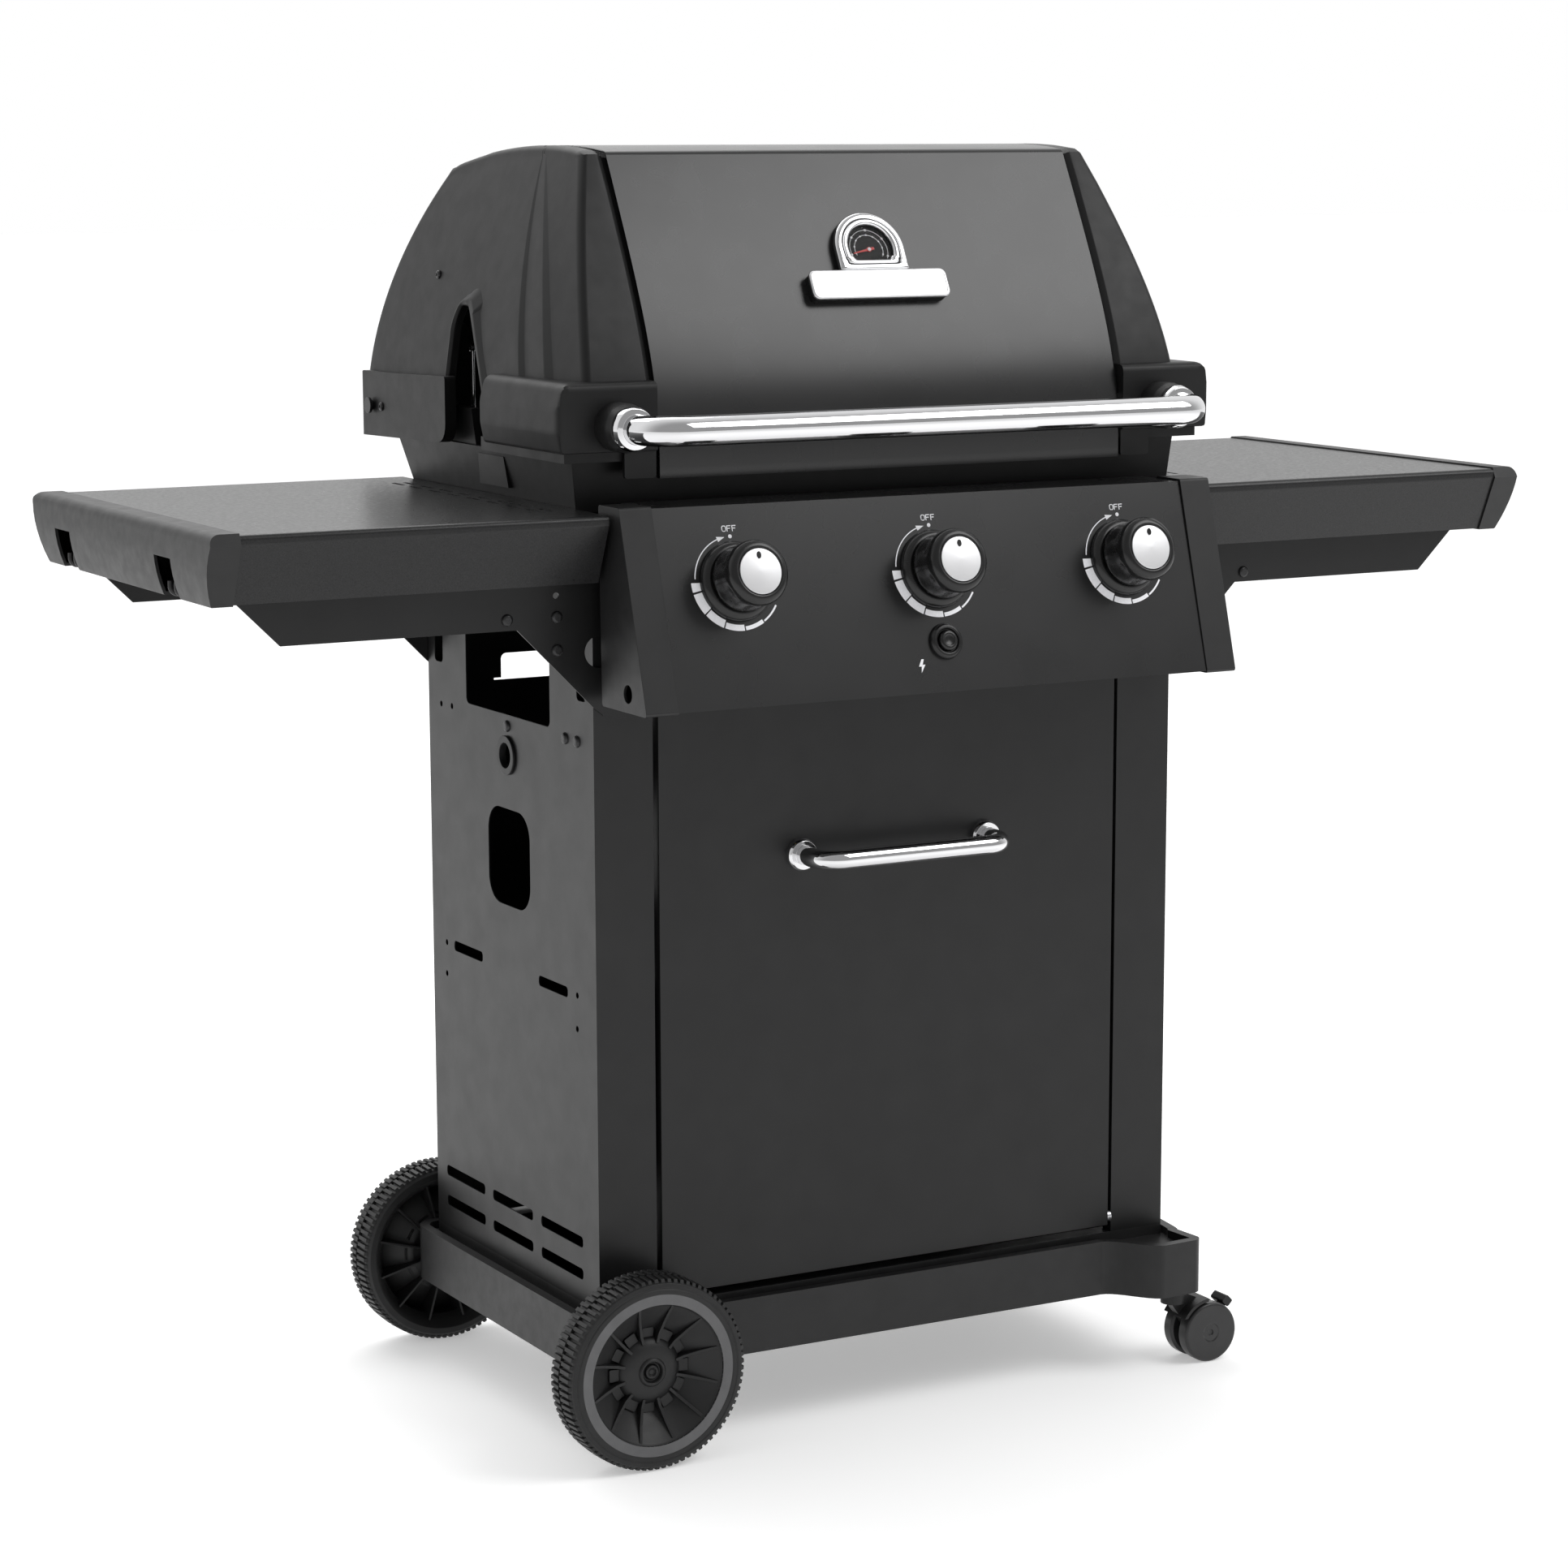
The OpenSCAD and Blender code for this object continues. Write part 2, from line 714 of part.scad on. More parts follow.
// Moulded end of the control panel, open at the back
module panel_cap() {
    wall = 3;
    lip = 2;
    shape = [
        [panel_top_y + 40, panel_top_z + lip - 8], [panel_top_y + 40, panel_top_z + lip],
        [panel_top_y - lip, panel_top_z + lip], [panel_low_y - lip, panel_low_z - lip],
        [panel_back_y, panel_low_z - lip]
    ];
    difference() {
        in_side(-panel_cap_half_w, panel_cap_half_w - panel_half_w - gap)
            offset(r = 3) offset(delta = -3) polygon(shape);
        in_side(-panel_cap_half_w + wall, panel_cap_half_w) offset(delta = -wall) polygon(shape);
        in_side(-panel_cap_half_w - eps, wall + 2 * eps) translate([-76.7, 750.5]) circle(r = 8.5);
    }
}

module left_panel_cap() {
    color(black_resin) on_row() panel_cap();
}

module right_panel_cap() {
    color(black_resin) on_row() mirror([1, 0, 0]) panel_cap();
}

bezel_h = 9;
// A knob's foot stays clear of its bezel when it is pushed in
knob_base_h = bezel_h + knob_press + 1;
valve_stem_r = 3;
// The stem's end has a flat side, so that the knob slides along it but turns with it
stem_flat = 2;
stem_top_h = knob_base_h + 18;
plug_r = 7;
plug_depth = [-39, -21];

module knob_bezels() {
    color(black_resin) on_row() for (i = knob_places) at_panel(i * knob_pitch, knob_up)
        rotate_extrude($fn = 72) polygon([
            [valve_hole_r, 0], [knob_bezel_r, 0], [knob_bezel_r, 3], [knob_bezel_r - 2, 6],
            [knob_bezel_r - 6, bezel_h], [knob_bezel_r - 10, bezel_h], [knob_bezel_r - 12, 5],
            [valve_hole_r, 5]
        ]);
}

module igniter_housing() {
    color(black_resin) on_row() at_panel(0, igniter_up) {
        rotate_extrude() polygon([
            [10, 0], [igniter_r, 0], [igniter_r, 3], [igniter_r - 2, 6], [igniter_r - 4, 6],
            [igniter_r - 5, 4], [10, 4]
        ]);
        translate([0, 0, -30]) difference() {
            cylinder(r = igniter_hole_r, h = 30);
            translate([0, 0, 4]) cylinder(r = 10, h = 30);
        }
    }
}

module igniter_button() {
    button_r = 10 - gap;
    color(black_enamel) on_row() at_panel(0, igniter_up) rotate_extrude() polygon([
        [0, -16], [button_r, -16], [button_r, 7], [button_r - 1, 8.5], [5, 9], [4, 8], [0, 8]
    ]);
}

// The flattened end of a valve's stem, or the knob's bore for it
module stem_end(low, high, clear = 0) {
    translate([0, 0, low]) intersection() {
        cylinder(r = valve_stem_r + clear, h = high - low);
        translate([-2 * valve_stem_r, -2 * valve_stem_r, 0])
            cube([2 * valve_stem_r + stem_flat + clear, 4 * valve_stem_r, high - low]);
    }
}

module knob() {
    flute_r = 15;
    flutes = 6;
    difference() {
        rotate_extrude($fn = 72) polygon([
            [0, knob_base_h], [knob_r, knob_base_h], [knob_r, knob_rim_h],
            [knob_edge_r, knob_edge_h], [22.3, knob_edge_h], [22.3, knob_h - 2], [0, knob_h - 2]
        ]);
        for (i = [0:flutes - 1]) rotate(360 * (i + 0.5) / flutes)
            translate([knob_r + flute_r - 5, 0, knob_base_h + 5])
                cylinder(r = flute_r, h = knob_rim_h - knob_base_h - 10);
        stem_end(knob_base_h - eps, stem_top_h + knob_press + 1, run);
    }
    // bright inlay
    translate([0, 0, knob_h - 2]) cylinder(r = 21.8, h = 2);
}

module place_knob(i) {
    color(black_enamel) on_row() at_panel(i * knob_pitch, knob_up) knob();
}

module knob_left() {
    place_knob(-1);
}

module knob_centre() {
    place_knob(0);
}

module knob_right() {
    place_knob(1);
}

// Turning plug of a gas valve, with the gas way through it and the stem that carries the knob
module valve_plug(i) {
    round_top = knob_base_h - knob_press - 1;
    color(brass) on_row() at_panel(i * knob_pitch, knob_up) {
        difference() {
            translate([0, 0, plug_depth[0]]) cylinder(r = plug_r, h = plug_depth[1] - plug_depth[0]);
            translate([0, 0, plug_depth[0] - eps]) cylinder(r = 2.5, h = 8);
            translate([0, 0, plug_depth[0] + 6]) rotate([0, 90, 0]) cylinder(r = 2, h = 30);
        }
        translate([0, 0, plug_depth[1] - 1]) cylinder(r = valve_stem_r, h = round_top - plug_depth[1] + 1);
        stem_end(round_top - eps, stem_top_h);
    }
}

module valve_plug_left() {
    valve_plug(-1);
}

module valve_plug_centre() {
    valve_plug(0);
}

module valve_plug_right() {
    valve_plug(1);
}

valve_low = -44;
valve_top = -13;
valve_body_w = 26;
manifold_r = 9.5;
burner_z = 835;

module gas_valves() {
    w = valve_body_w;
    spud_r = 5;
    color(brass) on_row() for (i = knob_places) {
        at_panel(i * knob_pitch, knob_up) difference() {
            union() {
                translate([-w / 2, -w / 2, valve_low]) cube([w, w, valve_top - valve_low]);
                translate([0, 0, valve_top]) cylinder(r = 8, h = -valve_top - sheet - gap);
            }
            translate([0, 0, plug_depth[0] - gap])
                cylinder(r = plug_r + run, h = plug_depth[1] - plug_depth[0] + 2 * gap);
            translate([0, 0, plug_depth[0]]) cylinder(r = valve_stem_r + 1, h = 60);
        }
        // nozzle that reaches into the burner's mouth
        translate([i * knob_pitch, -38, burner_z]) rotate([-90, 0, 0]) cylinder(r = spud_r, h = 36);
    }
}

// Pipe under the valves, with the hose inlet at its left end
inlet_r = 8;
inlet_len = 16;
inlet_bore_r = 3;

module gas_manifold() {
    half = 245;
    wall = 2;
    color(steel) on_row() at_panel(0, knob_up - valve_body_w / 2 - manifold_r) translate([0, 0, -28]) {
        rotate([0, 90, 0]) difference() {
            cylinder(r = manifold_r, h = 2 * half, center = true);
            cylinder(r = manifold_r - wall, h = 2 * half - 6, center = true);
            translate([0, 0, -half]) cylinder(r = inlet_bore_r, h = 20, center = true);
        }
        translate([-half - inlet_len, 0, 0]) rotate([0, 90, 0]) ring(inlet_r, inlet_bore_r, inlet_len + 0.5);
    }
}

// ---------------------------------------------------------------- firebox

slab_t = 0.01;

// Levels of the casting: height, half width, front and rear
firebox_levels = [
    [737, 90, 140, 240], [800, 314, 28, 372], [cab_top_z, 318, 24, 374],
    [cab_top_z + slab_t, 330, 20, 392], [firebox_top_z, firebox_half_w, 17, 420]
];

module slab(level, shrink, lift) {
    translate([-level[1] + shrink, level[2] + shrink, level[0] + lift])
        cube([2 * (level[1] - shrink), level[3] - level[2] - 2 * shrink, slab_t]);
}

module firebox_body(shrink, lift) {
    for (i = [0, 1, 3]) hull() {
        slab(firebox_levels[i], shrink, lift);
        slab(firebox_levels[i + 1], shrink, lift);
    }
}

module end_riser() {
    polygon([[205, 940], [237, firebox_top_z], [247, 992], [330, 994], [352, firebox_top_z], [360, 940]]);
}

module hinge_ear() {
    hull() {
        translate([hinge_y, hinge_z]) circle(r = 11);
        translate([370, 948]) square([30, firebox_top_z - 948]);
    }
}

module firebox() {
    ear_x = 323;
    ear_t = 7;
    pad = [[221, 922], [156, 922], [167, 951], [225, 951]];
    color(black_cast) on_row() difference() {
        union() {
            difference() {
                firebox_body(0, 0);
                difference() {
                    firebox_body(firebox_wall, firebox_wall);
                    // solid ledge at each end, under the risers and the hinge ears
                    both_sides() translate([ear_x - 2, 120, cab_top_z]) cube([30, 300, 100]);
                }
                // grease drain
                translate([0, 190, 700]) cylinder(r = 24, h = 100);
                // the rear wall is lower, to clear the lid's back edge as it swings
                translate([-ear_x, 396, 940]) cube([2 * ear_x, 60, 60]);
            }
            both_sides() {
                in_side(ear_x, 9) end_riser();
                in_side(ear_x, ear_t) hinge_ear();
                in_side(firebox_half_w - 8, 8) polygon(pad);
            }
        }
        both_sides() in_side(ear_x - eps, 20) translate([hinge_y, hinge_z]) circle(r = hinge_pin_r);
        for (i = knob_places) translate([i * knob_pitch, -30, burner_z]) rotate([-90, 0, 0])
            cylinder(r = 11 + gap, h = 120);
    }
}

module lid_hinge_pins() {
    head_r = 8;
    outer_x = 353;
    color(steel) on_row() both_sides() translate([323, hinge_y, hinge_z]) rotate([0, 90, 0]) {
        cylinder(r = hinge_pin_r, h = outer_x - 323);
        translate([0, 0, outer_x - 323]) cylinder(r = head_r, h = 3);
    }
}

module burners() {
    wall = 1.5;
    front = 40;
    rear = 366;
    inlet = -6;
    port_pitch = 14;
    color(steel) on_row() for (i = knob_places) translate([i * knob_pitch, 0, burner_z]) rotate([-90, 0, 0])
        difference() {
            union() {
                translate([0, 0, inlet]) cylinder(r = 11, h = front - inlet + eps);
                translate([0, 0, front]) cylinder(r = burner_r, h = rear - front);
            }
            translate([0, 0, inlet - eps]) cylinder(r = 11 - wall, h = front - inlet + 2 * eps);
            translate([0, 0, front + wall]) cylinder(r = burner_r - wall, h = rear - front - 2 * wall);
            for (y = [front + 20:port_pitch:rear - 15], s = [-1, 1]) translate([0, 0, y])
                rotate([90, 0, s * 35]) cylinder(r = 1.5, h = 30, $fn = 16);
        }
}

// Folded plates over the burners
module heat_plates() {
    half = 62;
    rise = 34;
    low_z = 872;
    t = 1.5;
    fold = [
        [-half, low_z], [0, low_z + rise], [half, low_z],
        [half, low_z + t], [0, low_z + rise + t], [-half, low_z + t]
    ];
    color(steel) on_row() for (i = knob_places) translate([i * 190, 0, 0]) {
        in_front(36, 330) polygon(fold);
        both_sides() translate([half - 4, 31.2, low_z - 8]) cube([4, 336.5, 8]);
    }
}

// Two cast grates, each a frame filled with bars from front to back
module cooking_grates() {
    low = cab_top_z + firebox_wall + 2 * slab_t;
    t = grate_z - low;
    bar = 6;
    gap_w = 17;
    half = 158;
    front = 26.5;
    rear = 380;
    color(cast_iron) on_row() for (s = [-1, 1]) translate([s * (half + 1), 0, low]) {
        translate([-half, front, 0]) cube([2 * half, 8, t]);
        translate([-half, rear - 8, 0]) cube([2 * half, 8, t]);
        translate([-half, (front + rear) / 2 - 4, 0]) cube([2 * half, 8, t - 3]);
        for (x = [-half:gap_w:half - bar]) translate([x, front, 0]) cube([bar, rear - front, t]);
        translate([half - 8, front, 0]) cube([8, rear - front, t]);
    }
}

// Wire rack over the back of the grates: wires on three cross rods, on four legs and two feet
module warming_rack() {
    wire = 2;
    half = 285;
    rear = 345;
    front = 235;
    wire_z = 1048;
    rod_z = wire_z - 2 * wire;
    foot_z = grate_z + wire;
    color(chrome) on_row() {
        for (x = [-half:30:half]) translate([x, front, wire_z]) rotate([-90, 0, 0])
            cylinder(r = wire, h = rear - front, $fn = 16);
        for (y = [front, (front + rear) / 2, rear]) translate([-half - 4, y, rod_z]) rotate([0, 90, 0])
            cylinder(r = wire, h = 2 * half + 8, $fn = 16);
        both_sides() for (y = [front, rear]) translate([half, y, foot_z + wire])
            cylinder(r = wire, h = rod_z - foot_z - 2 * wire, $fn = 16);
        both_sides() translate([half, front - wire, foot_z]) rotate([-90, 0, 0])
            cylinder(r = wire, h = rear - front + 2 * wire, $fn = 16);
    }
}

tray_half_w = 150;
tray_low_z = 707;
tray_top_z = 729;

module grease_tray() {
    t = 1.5;
    front = 60;
    rear = 386;
    pull_w = 90;
    color(steel) on_row() {
        difference() {
            translate([-tray_half_w, front, tray_low_z])
                cube([2 * tray_half_w, rear - front, tray_top_z - tray_low_z]);
            translate([-tray_half_w + t, front + t, tray_low_z + t])
                cube([2 * (tray_half_w - t), rear - front - 2 * t, tray_top_z]);
        }
        translate([-pull_w / 2, rear - eps, tray_low_z]) cube([pull_w, 12, 2]);
    }
}

module tray_rails() {
    t = 1.5;
    inner = tray_half_w + gap;
    flange = 10;
    front = 23.5;
    color(black_paint) on_row() both_sides() in_front(front, cab_d - front) {
        translate([inner, tray_low_z - gap - t]) square([t, 42]);
        translate([inner - flange, tray_low_z - gap - t]) square([flange + t, t]);
    }
}

// ---------------------------------------------------------------- side shelves

shelf_inner_x = 332;
apron_low_y = -30;
apron_low_z = shelf_z - apron_h;
rear_apron_h = 36;

// A shelf seen from the side: top, sloping front apron and rear apron
module shelf_outline() {
    offset(r = 5) offset(delta = -5) polygon([
        [shelf_front_y, shelf_z], [shelf_rear_y, shelf_z], [shelf_rear_y, apron_low_z - 20],
        [apron_low_y, apron_low_z - 20],
        [apron_low_y, apron_low_z], [shelf_front_y, shelf_z - 9]
    ]);
}

module shelf_section() {
    difference() {
        shelf_outline();
        offset(delta = -sheet) shelf_outline();
        translate([shelf_front_y - eps, apron_low_z - 60]) square([60, 60]);
        translate([60, apron_low_z - 60]) square([500, 60 + apron_h - rear_apron_h]);
        translate([apron_low_y - sheet, apron_low_z - 60]) square([500, 60]);
    }
    translate([apron_low_y, apron_low_z]) square([10, sheet]);
}

module shelf_top() {
    slot_pitch = 45;
    slot_n = 8;
    color(black_paint) on_row() difference() {
        in_side(-shelf_seam_x, shelf_seam_x - shelf_inner_x) shelf_section();
        for (i = [0:slot_n - 1], x = [-358, -370]) translate([x, 26 + i * slot_pitch, shelf_z - 5])
            linear_extrude(10) round_rect(5, 27, 2);
    }
}

module left_shelf_top() {
    shelf_top();
}

module right_shelf_top() {
    mirror([1, 0, 0]) shelf_top();
}

module cap_end_outline() {
    out = shelf_seam_x + shelf_cap_w;
    polygon(concat(
        [[-shelf_seam_x, shelf_z + 1.5], [-shelf_seam_x, apron_low_z - 1], [-out + 10, apron_low_z - 1]],
        bezier([
            [-out + 9, apron_low_z], [-out + 1, apron_low_z + 20],
            [-out - 1, apron_low_z + 40], [-out + 1, shelf_z - 10]
        ], 6),
        arc([-out + 11, shelf_z - 8.5], 10, 180, 90)
    ));
}

module cap_side_outline(grow) {
    offset(delta = grow) polygon([
        [shelf_front_y, shelf_z - 9], [shelf_front_y + 4, shelf_z],
        [shelf_rear_y - 4, shelf_z], [shelf_rear_y, shelf_z - 4],
        [shelf_rear_y - 22, apron_low_z], [apron_low_y, apron_low_z]
    ]);
}

hook_slot_y = [65, 337];
hook_slot_w = 42;
hook_slot_top = 885;

module tool_hook() {
    bar_r = 2.5;
    bend = 7;
    translate([-shelf_seam_x - 12, 0, hook_slot_top - 28]) rotate([90, 0, 0]) {
        rotate(180) rotate_extrude(angle = 180) translate([bend, 0]) circle(r = bar_r);
        translate([bend, 0, 0]) rotate([-90, 0, 0]) cylinder(r = bar_r, h = 26);
        translate([-bend, 0, 0]) rotate([-90, 0, 0]) cylinder(r = bar_r, h = 5);
    }
}

// Moulded end of a shelf, hollow, with two slots that hold tool hooks
module shelf_cap() {
    wall = 3;
    back_x = -shelf_seam_x - 3;
    color(black_resin) on_row() {
        difference() {
            intersection() {
                in_side(-shelf_seam_x - shelf_cap_w - 5, shelf_cap_w + 5) cap_side_outline(2);
                in_front(shelf_front_y - 20, 560) cap_end_outline();
            }
            intersection() {
                in_side(-shelf_seam_x - shelf_cap_w + wall, shelf_cap_w - 2 * wall)
                    cap_side_outline(2 - wall);
                in_front(shelf_front_y - 20, 560) offset(delta = -wall) cap_end_outline();
            }
            for (y = hook_slot_y)
                translate([-shelf_seam_x - shelf_cap_w - 5, y - hook_slot_w / 2, apron_low_z - 10])
                    cube([shelf_cap_w, hook_slot_w, hook_slot_top - apron_low_z + 10]);
        }
        for (y = hook_slot_y) {
            translate([back_x - 4, y - hook_slot_w / 2 - 1, apron_low_z]) cube([4, hook_slot_w + 2, 40]);
            for (dy = [-8, 8]) translate([0, y + dy, 0]) tool_hook();
        }
    }
}

module left_shelf_cap() {
    shelf_cap();
}

module right_shelf_cap() {
    mirror([1, 0, 0]) shelf_cap();
}

bracket_t = 2;
bracket_low_z = 806;

// Plate that carries a shelf: gusset at the cabinet, straight run, end cut at 45 degrees
module bracket_outline() {
    inner_top_z = 889;
    top_z = shelf_z - sheet;
    difference() {
        polygon([
            [-264, inner_top_z], [-338, inner_top_z], [-338, top_z], [-684, top_z], [-684, apron_low_z + 5],
            [-678, apron_low_z - 1], [-635, bracket_low_z], [-402, bracket_low_z],
            [-325, 729], [-314, 720], [-300, 717], [-264, 717]
        ]);
        translate([-318, 781]) circle(r = 15);
        translate([-362, 836]) circle(r = 3);
    }
}

module shelf_brackets() {
    color(black_paint) on_row() {
        in_front(-bracket_t, bracket_t) bracket_outline();
        in_front(cab_d + sheet, bracket_t) bracket_outline();
    }
}

module left_shelf_brackets() {
    shelf_brackets();
}

module right_shelf_brackets() {
    mirror([1, 0, 0]) shelf_brackets();
}

// Round screw heads on the cabinet and the shelf brackets
module cart_screws() {
    head_r = 6;
    head_h = 3;
    side_screws = [[192, 686], [61.4, 691.2], [35.8, 691.5]];
    bracket_screws = [[-412, 816], [-361.5, 816], [-361.5, 785]];
    module head() {
        rotate_extrude() polygon([
            [0, 0], [head_r, 0], [head_r - 1, head_h - 1], [head_r - 3, head_h], [0, head_h]
        ]);
    }
    color(steel) on_row() both_sides() {
        for (p = side_screws) translate([-cab_half_w, p[0], p[1]]) rotate([0, -90, 0]) head();
        for (p = bracket_screws) {
            translate([p[0], -bracket_t, p[1]]) rotate([90, 0, 0]) head();
            translate([p[0], cab_d + sheet + bracket_t, p[1]]) rotate([-90, 0, 0]) head();
        }
    }
}

// ---------------------------------------------------------------- lid

// Half the width of the lid's side walls at their foot
lid_foot_x = 329;
crown_front = [103, lid_top_z - 6];
crown_rear = [383, lid_top_z - 24];

// The lid seen from the side, filled, and running on below its lower edge
module lid_outline(low = 930) {
    offset(r = 9) offset(delta = -9) polygon(concat(
        [[lid_rear_y, low - 30], [-6, low - 30]],
        bezier([[-6, lid_low_z], [-10, 1035], [30, 1105], crown_front], 20),
        bezier([crown_front, [180, lid_top_z + 3], [290, lid_top_z + 1], crown_rear], 14),
        bezier([crown_rear, [460, 1140], [lid_rear_y + 8, 1060], [lid_rear_y, 951]], 18)
    ));
}

// Half of the lid seen from the front; bulge widens the foot of its side
module lid_half_front(bulge, shrink = 0) {
    difference() {
        offset(r = 8) offset(delta = -8 - shrink) polygon(concat(
            [[0, 900], [lid_foot_x + bulge, 900]],
            bezier([
                [lid_foot_x + bulge, 1000], [lid_foot_x + bulge, 1085],
                [315 + bulge * 0.7, 1165], [272, lid_top_z]
            ], 18),
            [[0, lid_top_z]]
        ));
        translate([-100, 0]) square([100 + lid_half_w + 1.5, 2000]);
    }
}

module lid_panel() {
    rear_low = 951;
    color(black_enamel) on_row() difference() {
        in_side(-lid_half_w, 2 * lid_half_w) difference() {
            lid_outline();
            offset(delta = -sheet) lid_outline();
            translate([-50, 0]) square([200, lid_low_z]);
            translate([100, 0]) square([500, rear_low]);
            // the bottom of the filled outline
            translate([10, 0]) square([lid_rear_y - 20, 960]);
        }
    }
}

notch = [[190, 940], [192, 1004], [243, 1080], [253, 1091], [268, 1091], [277, 1076], [277, 940]];
skirt_top_z = 1020;
skirt_low_z = 953;
skirt_x = 350;
boss_rear_y = 163;

// A solid of the lid's end, from the side outline and the front outline
module lid_end_solid(bulge, inset) {
    intersection() {
        in_side(0, 400) offset(delta = -inset) lid_outline();
        in_front(-40, 600) lid_half_front(bulge, inset);
    }
}

module lid_end() {
    ridge = concat(
        [[700, 900], [118, 900]],
        bezier([[118, 1029], [150, 1110], [150, 1150], [200, lid_top_z + 10]], 10),
        [[700, lid_top_z + 10]]
    );
    boss_side = [
        [-9, boss_low_z], [-9, boss_low_z + 40], [-2, boss_top_z - 6], [3, boss_top_z],
        [boss_rear_y - 3, boss_top_z], [boss_rear_y, boss_low_z]
    ];
    boss_front = [
        [lid_half_w + 7, boss_low_z], [lid_boss_half_w - 4, boss_low_z], [lid_boss_half_w, boss_low_z + 30],
        [lid_boss_half_w, boss_low_z + 46], [lid_boss_half_w - 8, boss_top_z], [lid_half_w + 7, boss_top_z]
    ];
    skirt_side = [
        [265, skirt_top_z], [lid_rear_y + skirt_out, skirt_top_z - 2], [lid_rear_y + skirt_out, 985],
        [lid_rear_y, skirt_low_z], [285, skirt_low_z + 4], [271, 964], [265, 978]
    ];
    skirt_front = [
        [0, 900], [skirt_x - 4, 900], [skirt_x - 4, skirt_low_z], [skirt_x, 985],
        [skirt_x - 2, 1012], [skirt_x - 8, skirt_top_z], [0, skirt_top_z]
    ];
    difference() {
        union() {
            // main wall
            difference() {
                union() {
                    lid_end_solid(0, 0);
                    intersection() {
                        lid_end_solid(14, 0);
                        in_side(0, 400) polygon(ridge);
                    }
                    // raised border round the notch
                    intersection() {
                        lid_end_solid(20, 0);
                        in_side(0, 400) offset(r = 9) polygon(notch);
                    }
                }
                translate([0, -60, 0]) cube([500, 60 + boss_rear_y, boss_top_z - casting]);
                translate([0, 0, 0]) cube([500, 600, skirt_top_z - casting]);
            }
            // handle boss
            intersection() {
                in_side(0, 400) polygon(boss_side);
                in_front(-40, 600) polygon(boss_front);
            }
            // skirt band
            intersection() {
                in_side(lid_half_w + 1.5, skirt_x - lid_half_w - 1.5) polygon(skirt_side);
                in_front(-40, 600) polygon(skirt_front);
            }
            // front wall beside the steel sheet, down to its lower edge
            intersection() {
                in_side(lid_half_w + 1.5, 12) difference() {
                    lid_outline();
                    offset(delta = -casting) lid_outline();
                }
                translate([0, -40, lid_low_z]) cube([400, 100, boss_top_z - lid_low_z]);
            }
        }
        // hollow of the main wall
        difference() {
            lid_end_solid(0, casting);
            translate([0, -60, 0]) cube([500, 60 + boss_rear_y, boss_top_z - casting]);
            translate([0, 0, 0]) cube([500, 600, skirt_top_z - casting - eps]);
        }
        // hollow of the handle boss
        translate([lid_half_w, -1, boss_low_z + casting])
            cube([lid_boss_half_w - lid_half_w - 2 * casting, boss_rear_y - casting, 50]);
        translate([lid_half_w - 5, 6, boss_low_z - 20]) cube([326 - lid_half_w, boss_rear_y, 82]);
        // hollow of the skirt band
        in_side(lid_half_w, skirt_x - casting - lid_half_w - 5) offset(delta = -casting)
            polygon([[200, 900], [200, skirt_top_z], [lid_rear_y + 1, skirt_top_z], [lid_rear_y + 1, 900]]);
        // notch for a spit
        in_side(315, 60) polygon(notch);
        // pivot bore
        in_side(320, 60) translate([hinge_y, hinge_z]) circle(r = hinge_pin_r + run);
    }
}

module right_lid_end() {
    color(black_cast) on_row() lid_end();
}

module left_lid_end() {
    color(black_cast) on_row() mirror([1, 0, 0]) lid_end();
}

handle_ring_y = [-38, -50];

module lid_handle_bosses() {
    color(black_resin) on_row() both_sides() translate([handle_x, -8, handle_z]) rotate([90, 0, 0])
        rotate_extrude() polygon([[0, 0], [23, 0], [23, 20], [20, 30], [0, 30]]);
}

module lid_handle_bar() {
    ring_r = 21;
    bend = 32;
    color(chrome) on_row() {
        translate([0, handle_y, handle_z])
            bent_bar(handle_x, handle_ring_y[1] - handle_y + 1, 0, handle_r, bend);
        both_sides() translate([handle_x, handle_ring_y[0], handle_z]) rotate([90, 0, 0]) rotate_extrude()
            polygon([
                [0, 0], [ring_r - 2, 0], [ring_r, 3], [ring_r, 7], [ring_r - 2, 11], [handle_r, 12], [0, 12]
            ]);
    }
}

// Place on the lid's front at the gauge's pivot, local Z out of the lid
gauge_y = 52.5;
gauge_z = 1143;
gauge_tilt = 28;
gauge_h = 9;
gauge_r = 38;
dial_r = 24.5;
dial_low = -12.6;
badge_up = -38.3;
badge_size = [152, 30];

module at_gauge() {
    translate([0, gauge_y, gauge_z]) rotate([90 - gauge_tilt, 0, 0]) children();
}

module dial_shape(shrink) {
    intersection() {
        circle(r = dial_r - shrink, $fn = 72);
        translate([-dial_r, dial_low + shrink]) square([2 * dial_r, 2 * dial_r]);
    }
}

module gauge_bezel() {
    foot = badge_up + badge_size[1] / 2;
    color(chrome) on_row() at_gauge() {
        difference() {
            translate([0, 0, -2]) linear_extrude(gauge_h + 2) intersection() {
                union() {
                    circle(r = gauge_r, $fn = 72);
                    translate([-gauge_r, foot]) square([2 * gauge_r, -foot]);
                }
                translate([-gauge_r, foot]) square([2 * gauge_r, 3 * gauge_r]);
            }
            translate([0, 0, gauge_h - 5]) linear_extrude(10) offset(r = 2) dial_shape(0);
        }
        // stem of the probe, through the lid
        translate([0, 0, -30]) cylinder(r = 4, h = 30);
    }
}

module gauge_dial() {
    color(black_resin) on_row() at_gauge() translate([0, 0, gauge_h - 5]) linear_extrude(1) dial_shape(0);
}

module gauge_glass() {
    color([0.8, 0.85, 0.9, 0.35]) on_row() at_gauge() translate([0, 0, gauge_h - 1]) linear_extrude(1)
        offset(r = 2) dial_shape(0);
}

